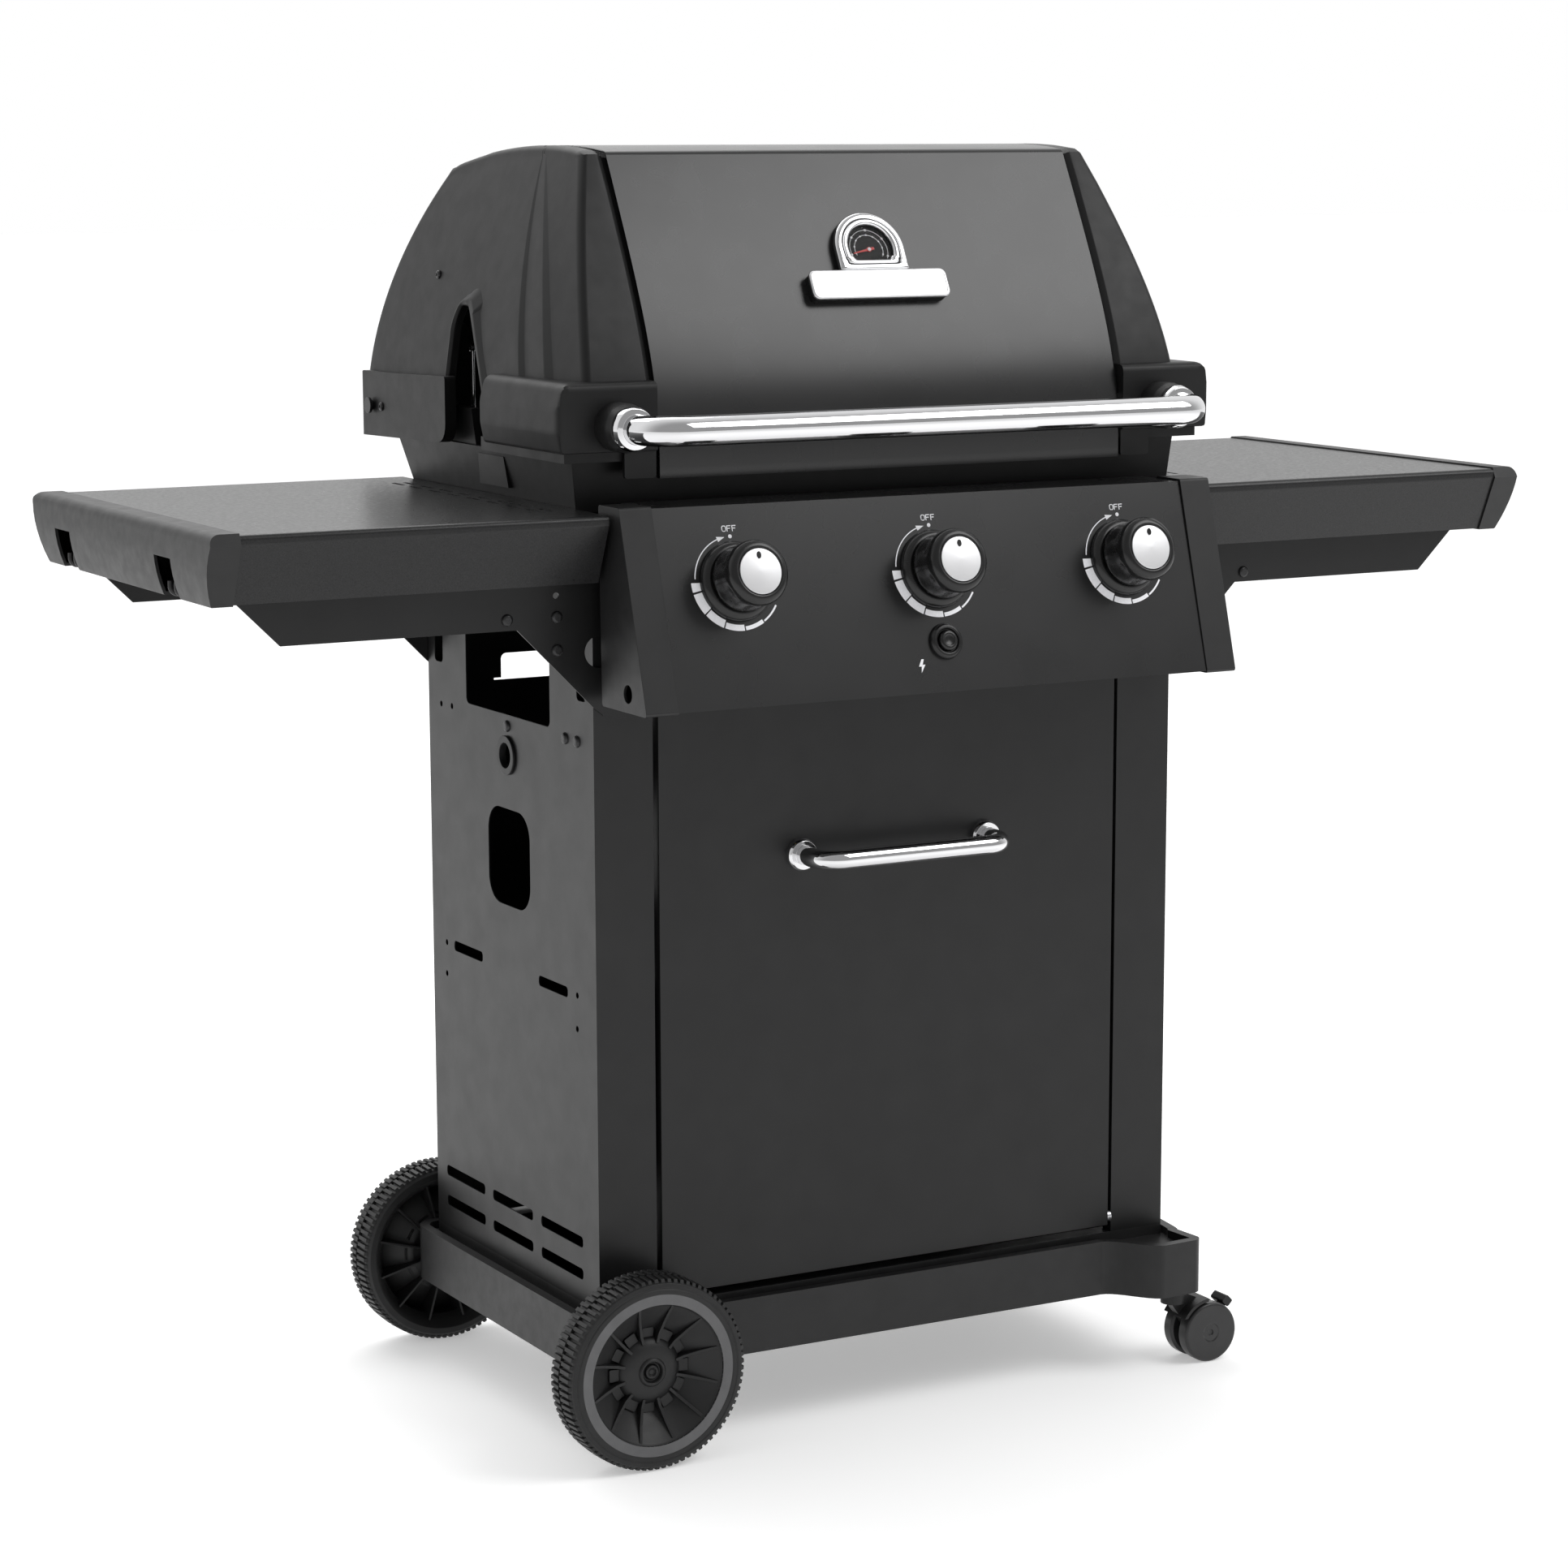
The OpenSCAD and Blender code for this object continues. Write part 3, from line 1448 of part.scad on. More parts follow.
module gauge_needle() {
    rest_turn = 12;
    color("red") on_row() at_gauge() translate([0, 0, gauge_h - 3.6]) {
        cylinder(r = 2.5, h = 1.4);
        rotate(rest_turn) translate([0, 0, 0.2]) linear_extrude(0.8)
            polygon([[6, -1.4], [6, 1.4], [-18, 0.5], [-18, -0.5]]);
    }
}

module badge_plate() {
    color(chrome) on_row() at_gauge() translate([0, badge_up, -3]) linear_extrude(gauge_h + 4)
        round_rect(badge_size[0], badge_size[1], 6);
}

base_frame();
left_side_panel();
right_side_panel();
back_panel();
rear_brace();
front_crossmember();
hose_grommet();
control_panel();
left_panel_cap();
right_panel_cap();
knob_bezels();
igniter_housing();
gas_manifold();
gas_valves();
firebox();
burners();
heat_plates();
cooking_grates();
warming_rack();
lid_hinge_pins();
left_shelf_top();
right_shelf_top();
left_shelf_cap();
right_shelf_cap();
left_shelf_brackets();
right_shelf_brackets();
wheel_axle();
cart_screws();
tray_rails();
door_fittings();
lid_panel();
left_lid_end();
right_lid_end();
lid_handle_bar();
lid_handle_bosses();
gauge_bezel();
gauge_dial();
gauge_glass();
badge_plate();
gauge_needle();
door_panel();
door_handle();
knob_left();
knob_centre();
knob_right();
valve_plug_left();
valve_plug_centre();
valve_plug_right();
igniter_button();
grease_tray();
front_wheel();
front_wheel_trim();
rear_wheel();
rear_wheel_trim();
front_caster_yoke();
front_caster_wheels();
front_caster_brake();
rear_caster_yoke();
rear_caster_wheels();
rear_caster_brake();
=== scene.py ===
"""Looks for the gas barbecue: materials, detailed pieces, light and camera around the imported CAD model."""
import json
import math

import bmesh
import bpy
from mathutils import Matrix, Vector


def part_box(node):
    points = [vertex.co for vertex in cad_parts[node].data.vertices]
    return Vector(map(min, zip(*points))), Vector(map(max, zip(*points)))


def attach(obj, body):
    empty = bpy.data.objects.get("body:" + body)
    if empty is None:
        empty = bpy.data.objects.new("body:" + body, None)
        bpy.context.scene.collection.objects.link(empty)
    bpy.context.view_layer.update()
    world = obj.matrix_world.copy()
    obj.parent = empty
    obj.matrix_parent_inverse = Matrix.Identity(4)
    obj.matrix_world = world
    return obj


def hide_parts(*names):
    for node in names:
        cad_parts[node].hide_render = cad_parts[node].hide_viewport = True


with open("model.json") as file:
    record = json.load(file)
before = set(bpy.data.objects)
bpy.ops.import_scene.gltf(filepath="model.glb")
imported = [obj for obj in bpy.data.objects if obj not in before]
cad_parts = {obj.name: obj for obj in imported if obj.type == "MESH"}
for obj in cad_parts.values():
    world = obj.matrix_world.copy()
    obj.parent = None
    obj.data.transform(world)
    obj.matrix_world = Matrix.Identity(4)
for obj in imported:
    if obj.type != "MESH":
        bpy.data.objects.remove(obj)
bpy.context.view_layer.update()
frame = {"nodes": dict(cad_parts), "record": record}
nodes = frame["nodes"]

# ---------------------------------------------------------------- places

MM = 0.001
# Shapes are drawn in millimetres from the centre line, the cabinet's front face and the floor
FRONT_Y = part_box("left_side_panel")[0].y
TO_WORLD = Matrix.Translation((0, FRONT_Y, 0)) @ Matrix.Scale(MM, 4)


def at(x, y, z):
    return TO_WORLD @ Vector((x, y, z))


def columns(x_axis, y_axis, z_axis, origin=(0, 0, 0)):
    """The place whose local axes point along the three given ones."""
    turn = Matrix((x_axis, y_axis, z_axis)).transposed().to_4x4()
    return Matrix.Translation(origin) @ turn


def from_side(x=0):
    """Local X runs back, local Y up and local Z to the right."""
    return columns((0, 1, 0), (0, 0, 1), (1, 0, 0), (x, 0, 0))


MIRROR_X = Matrix.Scale(-1, 4, (1, 0, 0))


def mirror_back(middle):
    """Mirrors front to back about the plane y = middle."""
    return Matrix.Translation((0, 2 * middle, 0)) @ Matrix.Scale(-1, 4, (0, 1, 0))


# ---------------------------------------------------------------- curves


def lerp(a, b, t):
    return a + (b - a) * t


def smooth(t):
    """0 to 1 with a soft start and end."""
    t = min(1.0, max(0.0, t))
    return t * t * (3 - 2 * t)


def bezier(p, steps):
    """Points on a cubic curve through its ends p[0] and p[3]."""
    points = []
    for i in range(steps + 1):
        t = i / steps
        u = 1 - t
        weights = (u ** 3, 3 * u * u * t, 3 * u * t * t, t ** 3)
        points.append(tuple(sum(w * q[k] for w, q in zip(weights, p)) for k in range(len(p[0]))))
    return points


def rounded(points, radii, steps=6, closed=True):
    """The outline with each corner rounded; radii is one number or one for each corner."""
    if not hasattr(radii, "__len__"):
        radii = [radii] * len(points)
    made = []
    for i, corner in enumerate(points):
        if radii[i] == 0 or (not closed and i in (0, len(points) - 1)):
            made.append(tuple(corner))
            continue
        c = Vector(corner)
        before = Vector(points[i - 1]) - c
        after = Vector(points[(i + 1) % len(points)]) - c
        half = before.angle(after) / 2
        reach = min(radii[i] / math.tan(half), before.length / 2, after.length / 2)
        a = c + before.normalized() * reach
        b = c + after.normalized() * reach
        made += [tuple(q) for q in bezier([a, a.lerp(c, 0.6), b.lerp(c, 0.6), b], steps)]
    return made


def round_rect(w, h, r, steps=6):
    return rounded([(-w / 2, -h / 2), (w / 2, -h / 2), (w / 2, h / 2), (-w / 2, h / 2)], r, steps)


def normals_2d(points):
    """Unit normals of an open polyline, to the right of its direction."""
    made = []
    last = len(points) - 1
    for i in range(len(points)):
        a = Vector(points[max(i - 1, 0)])
        b = Vector(points[min(i + 1, last)])
        d = (b - a).normalized()
        made.append(Vector((d.y, -d.x)))
    return made


def offset_line(points, distance):
    """The polyline moved to the right of its direction."""
    return [tuple(Vector(p) + n * distance) for p, n in zip(points, normals_2d(points))]


# ---------------------------------------------------------------- mesh building


class Shape:
    """A mesh put together from simple solids in millimetres and made into one piece."""

    def __init__(self):
        self.bm = bmesh.new()

    def faces(self, verts, faces, place=Matrix()):
        made = [self.bm.verts.new(place @ Vector(v)) for v in verts]
        flip = place.determinant() < 0
        for face in faces:
            corners = [made[i] for i in (reversed(face) if flip else face)]
            if len(set(corners)) > 2:
                self.bm.faces.new(corners)
        return self

    def prism(self, outline, low, high, place=Matrix()):
        """A closed solid over a flat outline, from low to high along local Z."""
        if sum(a[0] * b[1] - b[0] * a[1] for a, b in zip(outline, outline[1:] + outline[:1])) < 0:
            outline = outline[::-1]
        n = len(outline)
        verts = [(*p, z) for z in (low, high) for p in outline]
        faces = [list(range(n))[::-1], list(range(n, 2 * n))]
        faces += [[i, (i + 1) % n, n + (i + 1) % n, n + i] for i in range(n)]
        return self.faces(verts, faces, place)

    def rings(self, rings, place=Matrix(), close=False):
        """Joins rings of equal length; unless they close on each other, the first and last get a face."""
        n = len(rings[0])
        verts = [v for ring in rings for v in ring]
        faces = []
        count = len(rings)
        for k in range(count if close else count - 1):
            a, b = k * n, (k + 1) % count * n
            faces += [[a + i, a + (i + 1) % n, b + (i + 1) % n, b + i] for i in range(n)]
        if not close:
            faces += [list(range(n))[::-1], list(range((count - 1) * n, count * n))]
        return self.faces(verts, faces, place)

    def turned(self, profile, place=Matrix(), steps=64, shape=None):
        """A solid of revolution about local Z: profile is (radius, height) from the bottom up, outside
        first; shape(angle, radius, height) may change a radius."""
        rings = []
        for r, h in profile:
            ring = []
            for i in range(steps):
                a = 2 * math.pi * i / steps
                q = shape(a, r, h) if shape else r
                ring.append((q * math.cos(a), q * math.sin(a), h))
            rings.append(ring)
        closed = profile[0] == profile[-1]
        if closed:
            rings.pop()
        return self.rings(rings, place, close=closed)

    def sheet(self, rows, place=Matrix()):
        """An open grid of points."""
        n = len(rows[0])
        verts = [v for row in rows for v in row]
        faces = []
        for k in range(len(rows) - 1):
            faces += [[k * n + i, k * n + i + 1, (k + 1) * n + i + 1, (k + 1) * n + i] for i in range(n - 1)]
        return self.faces(verts, faces, place)

    def make(self, name):
        """Turns the mesh into an object, at its real size and place."""
        bmesh.ops.recalc_face_normals(self.bm, faces=self.bm.faces)
        mesh = bpy.data.meshes.new(name)
        self.bm.to_mesh(mesh)
        self.bm.free()
        mesh.transform(TO_WORLD)
        obj = bpy.data.objects.new(name, mesh)
        bpy.context.scene.collection.objects.link(obj)
        return obj

    def piece(self, name, body, look, slot=None, replaces=(), edge=0.6, segments=2, angle=30, thick=0):
        """Makes the piece; edge is the width of its rounded edges and thick that of an open sheet."""
        bmesh.ops.remove_doubles(self.bm, verts=self.bm.verts, dist=0.001)
        obj = self.make(name)
        shade_smooth(obj)
        obj.data.materials.append(LOOKS[look])
        if thick:
            solid = obj.modifiers.new("thickness", "SOLIDIFY")
            solid.thickness = thick * MM
            solid.offset = -1
        soften(obj, edge, segments, angle)
        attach(obj, body)
        if replaces:
            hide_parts(*replaces)
        return obj


def shade_smooth(obj):
    obj.data.polygons.foreach_set("use_smooth", [True] * len(obj.data.polygons))


def soften(obj, edge, segments=2, angle=30):
    """Rounds the edges sharper than angle and keeps the faces between them flat."""
    if edge:
        bevel = obj.modifiers.new("edge", "BEVEL")
        bevel.width = edge * MM
        bevel.segments = segments
        bevel.limit_method = "ANGLE"
        bevel.angle_limit = math.radians(angle)
        bevel.miter_outer = "MITER_ARC"
    shade = obj.modifiers.new("shade", "WEIGHTED_NORMAL")
    shade.mode = "FACE_AREA"
    shade.weight = 70
    shade.keep_sharp = False


def cut(obj, cutter, how="DIFFERENCE"):
    """Cuts a shape out of a piece for good, ahead of its edge rounding."""
    tool = cutter.make("cutter")
    later = [m for m in obj.modifiers if m.type in ("BEVEL", "WEIGHTED_NORMAL")]
    for modifier in later:
        modifier.show_viewport = False
    hole = obj.modifiers.new("hole", "BOOLEAN")
    hole.object = tool
    hole.solver = "EXACT"
    hole.operation = how
    view = bpy.context.evaluated_depsgraph_get()
    made = bpy.data.meshes.new_from_object(obj.evaluated_get(view), depsgraph=view)
    obj.modifiers.remove(hole)
    thickness = obj.modifiers.get("thickness")
    if thickness:
        obj.modifiers.remove(thickness)
    for modifier in later:
        modifier.show_viewport = True
    obj.data = made
    bpy.data.objects.remove(tool)


# ---------------------------------------------------------------- materials


class Look:
    """A node material being built around one Principled shader."""

    def __init__(self, name, color, roughness, metallic=0.0, specular=0.5):
        self.mat = bpy.data.materials.new(name)
        self.mat.use_nodes = True
        self.tree = self.mat.node_tree
        self.shader = self.tree.nodes["Principled BSDF"]
        self.set("Base Color", (*color, 1.0))
        self.set("Roughness", roughness)
        self.set("Metallic", metallic)
        self.set("Specular IOR Level", specular)
        self.coords = self.node("ShaderNodeTexCoord").outputs["Object"]

    def set(self, socket, value):
        self.shader.inputs[socket].default_value = value

    def node(self, kind, **inputs):
        made = self.tree.nodes.new(kind)
        for key, value in inputs.items():
            made.inputs[key].default_value = value
        return made

    def link(self, source, target):
        self.tree.links.new(source, target)

    def noise(self, size, detail=2.0, stretch=(1, 1, 1)):
        """Noise whose features are about size metres across."""
        noise = self.node("ShaderNodeTexNoise", Scale=1.0, Detail=detail, Roughness=0.55)
        mapping = self.node("ShaderNodeMapping")
        mapping.inputs["Scale"].default_value = [s / size for s in stretch]
        self.link(self.coords, mapping.inputs["Vector"])
        self.link(mapping.outputs["Vector"], noise.inputs["Vector"])
        return noise.outputs["Fac"]

    def cells(self, size, feature="F1"):
        """Cells about size metres across."""
        cells = self.node("ShaderNodeTexVoronoi", Scale=1.0 / size)
        cells.feature = feature
        self.link(self.coords, cells.inputs["Vector"])
        return cells

    def spread(self, fac, low, high):
        """Maps the middle of a noise's values to low to high."""
        spread = self.node("ShaderNodeMapRange")
        spread.inputs["From Min"].default_value = 0.3
        spread.inputs["From Max"].default_value = 0.7
        spread.inputs["To Min"].default_value = low
        spread.inputs["To Max"].default_value = high
        self.link(fac, spread.inputs["Value"])
        return spread.outputs["Result"]

    def vary_roughness(self, fac, low, high):
        self.link(self.spread(fac, low, high), self.shader.inputs["Roughness"])

    def vary_color(self, fac, dark, light):
        ramp = self.node("ShaderNodeValToRGB")
        ramp.color_ramp.elements[0].position = 0.3
        ramp.color_ramp.elements[1].position = 0.7
        ramp.color_ramp.elements[0].color = (*dark, 1.0)
        ramp.color_ramp.elements[1].color = (*light, 1.0)
        self.link(fac, ramp.inputs["Fac"])
        self.link(ramp.outputs["Color"], self.shader.inputs["Base Color"])

    def bump(self, height, strength, distance):
        bump = self.node("ShaderNodeBump", Strength=strength, Distance=distance)
        self.link(height, bump.inputs["Height"])
        previous = self.shader.inputs["Normal"].links
        if previous:
            self.link(previous[0].from_socket, bump.inputs["Normal"])
        self.link(bump.outputs["Normal"], self.shader.inputs["Normal"])


def gray(v):
    """A neutral colour with a faint cool cast."""
    return (v, v, v * 1.03)


def black_paint():
    """Semi-gloss powder coat with a faint orange peel."""
    look = Look("black_paint", gray(0.008), 0.38, specular=0.33)
    look.vary_color(look.noise(0.09, 3), gray(0.0068), gray(0.0092))
    look.vary_roughness(look.noise(0.03, 3), 0.33, 0.40)
    look.bump(look.noise(0.003, 2), 0.06, 0.0003)
    return look.mat


def black_enamel():
    """Glossy baked enamel on the lid and the control panel."""
    look = Look("black_enamel", gray(0.009), 0.28, specular=0.5)
    look.vary_color(look.noise(0.12, 2), gray(0.0085), gray(0.0098))
    look.vary_roughness(look.noise(0.05, 2), 0.265, 0.29)
    look.bump(look.noise(0.004, 1), 0.015, 0.0001)
    return look.mat


def black_cast():
    """Satin paint over a die casting, slightly grainy."""
    look = Look("black_cast", gray(0.007), 0.42, specular=0.27)
    look.vary_color(look.noise(0.05, 4), gray(0.006), gray(0.008))
    look.vary_roughness(look.noise(0.02, 3), 0.41, 0.48)
    look.bump(look.noise(0.0016, 3), 0.10, 0.0002)
    return look.mat


def black_resin():
    """Moulded plastic with a fine spark-eroded texture."""
    look = Look("black_resin", gray(0.009), 0.45, specular=0.4)
    look.vary_color(look.noise(0.04, 3), gray(0.008), gray(0.011))
    look.vary_roughness(look.noise(0.015, 2), 0.42, 0.5)
    look.bump(look.cells(0.0011).outputs["Distance"], 0.08, 0.0001)
    return look.mat


def gloss_black():
    """Shiny moulded plastic of the knobs and their collars."""
    look = Look("gloss_black", gray(0.007), 0.24, specular=0.42)
    look.vary_roughness(look.noise(0.01, 2), 0.21, 0.28)
    look.bump(look.noise(0.004, 1), 0.03, 0.0002)
    return look.mat


def shelf_black():
    """Semi-gloss black paint with a fine hammered texture and a sparkle."""
    look = Look("shelf_black", gray(0.011), 0.31, specular=0.31)
    look.vary_color(look.noise(0.0013, 3), gray(0.006), gray(0.019))
    look.vary_roughness(look.noise(0.004, 2), 0.27, 0.36)
    look.bump(look.cells(0.0022, "SMOOTH_F1").outputs["Distance"], 0.12, 0.0002)
    return look.mat


def black_screw():
    """Black oxide on small screws."""
    look = Look("black_screw", gray(0.03), 0.3, metallic=0.6)
    look.vary_roughness(look.noise(0.002, 2), 0.25, 0.38)
    return look.mat


def chrome():
    """Bright plating of the handles and the gauge's rim."""
    look = Look("chrome", (0.7, 0.7, 0.71), 0.07, metallic=1.0)
    look.vary_roughness(look.noise(0.02, 2), 0.05, 0.09)
    look.bump(look.noise(0.03, 1), 0.01, 0.0003)
    return look.mat


def satin_silver():
    """Fine brushed face of the knobs' inlays."""
    look = Look("satin_silver", (0.72, 0.72, 0.73), 0.38, metallic=1.0)
    look.vary_roughness(look.noise(0.0012, 3, (1, 14, 14)), 0.32, 0.44)
    look.bump(look.noise(0.0006, 2, (1, 20, 20)), 0.04, 0.00005)
    return look.mat


def steel():
    look = Look("steel", (0.58, 0.58, 0.6), 0.32, metallic=1.0)
    look.vary_roughness(look.noise(0.004, 3, (1, 1, 14)), 0.26, 0.4)
    look.bump(look.noise(0.001, 2, (1, 1, 20)), 0.08, 0.0001)
    return look.mat


def grate_iron():
    look = Look("grate_iron", gray(0.03), 0.55)
    look.vary_color(look.noise(0.006, 4), gray(0.022), gray(0.045))
    look.bump(look.noise(0.002, 4), 0.3, 0.0004)
    return look.mat


def brass():
    look = Look("brass", (0.72, 0.52, 0.22), 0.3, metallic=1.0)
    look.vary_roughness(look.noise(0.003, 3), 0.24, 0.38)
    return look.mat


def trim_grey():
    """Satin grey ring of the wheels."""
    look = Look("trim_grey", gray(0.1), 0.42)
    look.vary_color(look.noise(0.02, 3), gray(0.09), gray(0.11))
    look.vary_roughness(look.noise(0.006, 2), 0.38, 0.46)
    return look.mat


def tyre():
    """Dull black tread of the large wheels."""
    look = Look("tyre", gray(0.01), 0.5, specular=0.4)
    look.vary_color(look.noise(0.03, 3), gray(0.008), gray(0.013))
    look.vary_roughness(look.noise(0.01, 3), 0.45, 0.56)
    look.bump(look.noise(0.0012, 2), 0.08, 0.0001)
    return look.mat


def roller():
    """Harder, shinier plastic of the casters."""
    look = Look("roller", gray(0.013), 0.32)
    look.vary_color(look.noise(0.02, 3), gray(0.011), gray(0.016))
    look.vary_roughness(look.noise(0.008, 2), 0.28, 0.38)
    return look.mat


def needle_red():
    look = Look("needle_red", (0.62, 0.02, 0.015), 0.35)
    look.vary_color(look.noise(0.003, 2), (0.56, 0.015, 0.012), (0.68, 0.03, 0.02))
    return look.mat


def dial_face():
    look = Look("dial_face", gray(0.006), 0.5, specular=0.25)
    look.vary_roughness(look.noise(0.004, 2), 0.46, 0.56)
    return look.mat


def dial_glass():
    """Clear cover of the gauge, which only adds a faint shine."""
    look = Look("dial_glass", gray(0.02), 0.04, specular=0.12)
    look.set("Alpha", 0.1)
    look.vary_roughness(look.noise(0.02, 2), 0.03, 0.06)
    return look.mat


def print_white():
    """Screen-printed marks."""
    look = Look("print_white", gray(0.9), 0.5)
    look.vary_color(look.noise(0.002, 3), gray(0.86), gray(0.94))
    return look.mat


MAKERS = (
    black_paint, black_enamel, black_cast, black_resin, gloss_black, shelf_black, black_screw, chrome,
    satin_silver, steel, grate_iron, brass, trim_grey, tyre, roller, needle_red, dial_face, dial_glass,
    print_white,
)
LOOKS = {make.__name__: make() for make in MAKERS}

# ---------------------------------------------------------------- CAD nodes

# Width in millimetres of the rounded edges, where it isn't the default of sheet metal
EDGE = {"black_resin": 1.2, "black_cast": 2.0, "roller": 0.8, "gloss_black": 0.6}
SHEET_EDGE = 0.4


def finish_node(name, slot):
    """Gives a CAD node its material and softly rounded edges."""
    obj = nodes[name]
    obj.data.materials.clear()
    obj.data.materials.append(LOOKS[slot])
    weld = obj.modifiers.new("weld", "WELD")
    weld.merge_threshold = 0.00001
    flat = obj.modifiers.new("flat", "DECIMATE")
    flat.decimate_type = "DISSOLVE"
    flat.angle_limit = math.radians(0.6)
    shade_smooth(obj)
    soften(obj, EDGE.get(slot, SHEET_EDGE))


slots = {s["node"]: s["material_slot"] for s in frame["record"]["subparts"]}
for node_name, slot_name in slots.items():
    finish_node(node_name, slot_name)


# ---------------------------------------------------------------- lid

LID_LOW_Z = 940
LID_TOP_Z = 1246
# Half the width of the lid's sheet, and the gap between it and the castings
LID_HALF_W = 255
SEAM_W = 3
# Inner face of the castings' front and rear walls
INNER_X = LID_HALF_W + SEAM_W + 0.5
# Height over which the lid ends are drawn as a curved side, above the boss and the band
SIDE_LOW_Z = 1000
SIDE_RISE = 245
SIDE_ROWS = 26
CROWN_FRONT = (103, LID_TOP_Z - 6)
CROWN_REAR = (383, LID_TOP_Z - 24)
LID_REAR = (480, 951)
FRONT_CURVE = [(-6, LID_LOW_Z), (-10, 1035), (30, 1105), CROWN_FRONT]
CROWN_CURVE = [CROWN_FRONT, (180, LID_TOP_Z + 3), (290, LID_TOP_Z + 1), CROWN_REAR]
REAR_CURVE = [CROWN_REAR, (460, 1140), (488, 1060), LID_REAR]


def lid_profile(steps):
    """The lid's outer line seen from the side, from its lower front over the crown to the back."""
    line = bezier(FRONT_CURVE, steps)[:-1] + bezier(CROWN_CURVE, steps)[:-1] + bezier(REAR_CURVE, steps)
    radii = [0] * len(line)
    radii[steps] = 12
    radii[2 * steps] = 30
    return rounded(line, radii, 8, closed=False)


def side_share(z):
    """How far up the lid end's side a height is, from 0 to 1."""
    return min(1.0, max(0.0, (z - SIDE_LOW_Z) / SIDE_RISE))


def end_corner_x(z):
    """Distance of the lid end's front corner from the middle."""
    return 329 - 52 * side_share(z) ** 1.65


def end_flare(z):
    """How much farther out the side face is than the front corner."""
    return 14 * (1 - side_share(z)) ** 0.85


def end_side_x(z):
    return end_corner_x(z) + end_flare(z)


# Radius at which the lid end's side turns into its outer walls
CORNER_R = 8
# Creases of the lid end as (y, z) with a bend; between them the side steps out towards the back
RIDGE_FRONT = [(48, 1000), (70, 1078), (118, 1165), (183, 1243)]
RIDGE_BACK = [(110, 1000), (142, 1085), (166, 1160), (187, 1244)]


def lid_sheet():
    """The curved sheet between the two castings."""
    shape = Shape()
    line = lid_profile(28)
    # Turned hem along the front edge
    hem = [(5, LID_LOW_Z + 9), (4, LID_LOW_Z + 3), (0, LID_LOW_Z), (-4, LID_LOW_Z)]
    rows = [[(x, y, z) for y, z in hem + line] for x in (-LID_HALF_W, LID_HALF_W)]
    shape.sheet(rows)
    shape.piece("lid_sheet", "lid", "black_enamel", "black_enamel", ["lid_panel"], edge=0, thick=1.5)


def side_columns():
    """Columns of (y, z, outward step) over the lid end's side, from front to back."""
    rows = SIDE_ROWS
    inset = CORNER_R
    front = offset_line(bezier(FRONT_CURVE, 60), inset)
    front = [p for p in front if p[1] >= SIDE_LOW_Z][:-3]
    front = [front[round(i * (len(front) - 1) / rows)] for i in range(rows + 1)]
    front[-1] = (CROWN_FRONT[0] + inset * 0.8, CROWN_FRONT[1] - inset * 0.9)
    back = [(p[0] - inset * 0.9, p[1] - inset * 0.3) for p in bezier(REAR_CURVE, 60)]
    back = [p for p in back if p[1] >= SIDE_LOW_Z][::-1]
    back = [back[round(i * (len(back) - 1) / rows)] for i in range(rows + 1)]
    back[-1] = (CROWN_REAR[0] - 3, CROWN_REAR[1] - inset)
    crown = [(p[0], p[1] - inset) for p in bezier(CROWN_CURVE, 60)]

    def on_crown(y):
        return min(crown, key=lambda p: abs(p[0] - y))[1]

    ridge_a = bezier(RIDGE_FRONT, rows)
    ridge_b = bezier(RIDGE_BACK, rows)
    made = []

    def column(a, b, w, step):
        """Adds a column between the lines a and b, at the share w of the way, stepped out by step."""
        points = []
        top = a[-1][0] * (1 - w) + b[-1][0] * w
        for i, (p, q) in enumerate(zip(a, b)):
            y = lerp(p[0], q[0], w)
            z = lerp(p[1], q[1], w)
            if i == rows:
                y, z = top, on_crown(top)
            points.append((y, z, step))
        made.append(points)

    # The side leans outwards from the front edge, then steps out at each crease
    for w in (0, 0.03, 0.1, 0.3, 0.5, 0.7, 0.88):
        column(front, ridge_a, w, 0.42 * w)
    column(front, ridge_a, 1, 0.42)
    for w, step in (
        (0.02, 0.45), (0.17, 0.74), (0.21, 0.78), (0.4, 0.77), (0.6, 0.75), (0.8, 0.73), (0.85, 0.73),
        (0.87, 0.76), (0.97, 0.98), (1, 1.0)
    ):
        column(ridge_a, ridge_b, w, step)
    for w in (0.02, 0.06, 0.12, 0.2, 0.28, 0.36, 0.44, 0.52, 0.6, 0.68, 0.76, 0.84, 0.9, 0.95, 0.98, 1):
        column(ridge_b, back, w, 1.0)
    return made


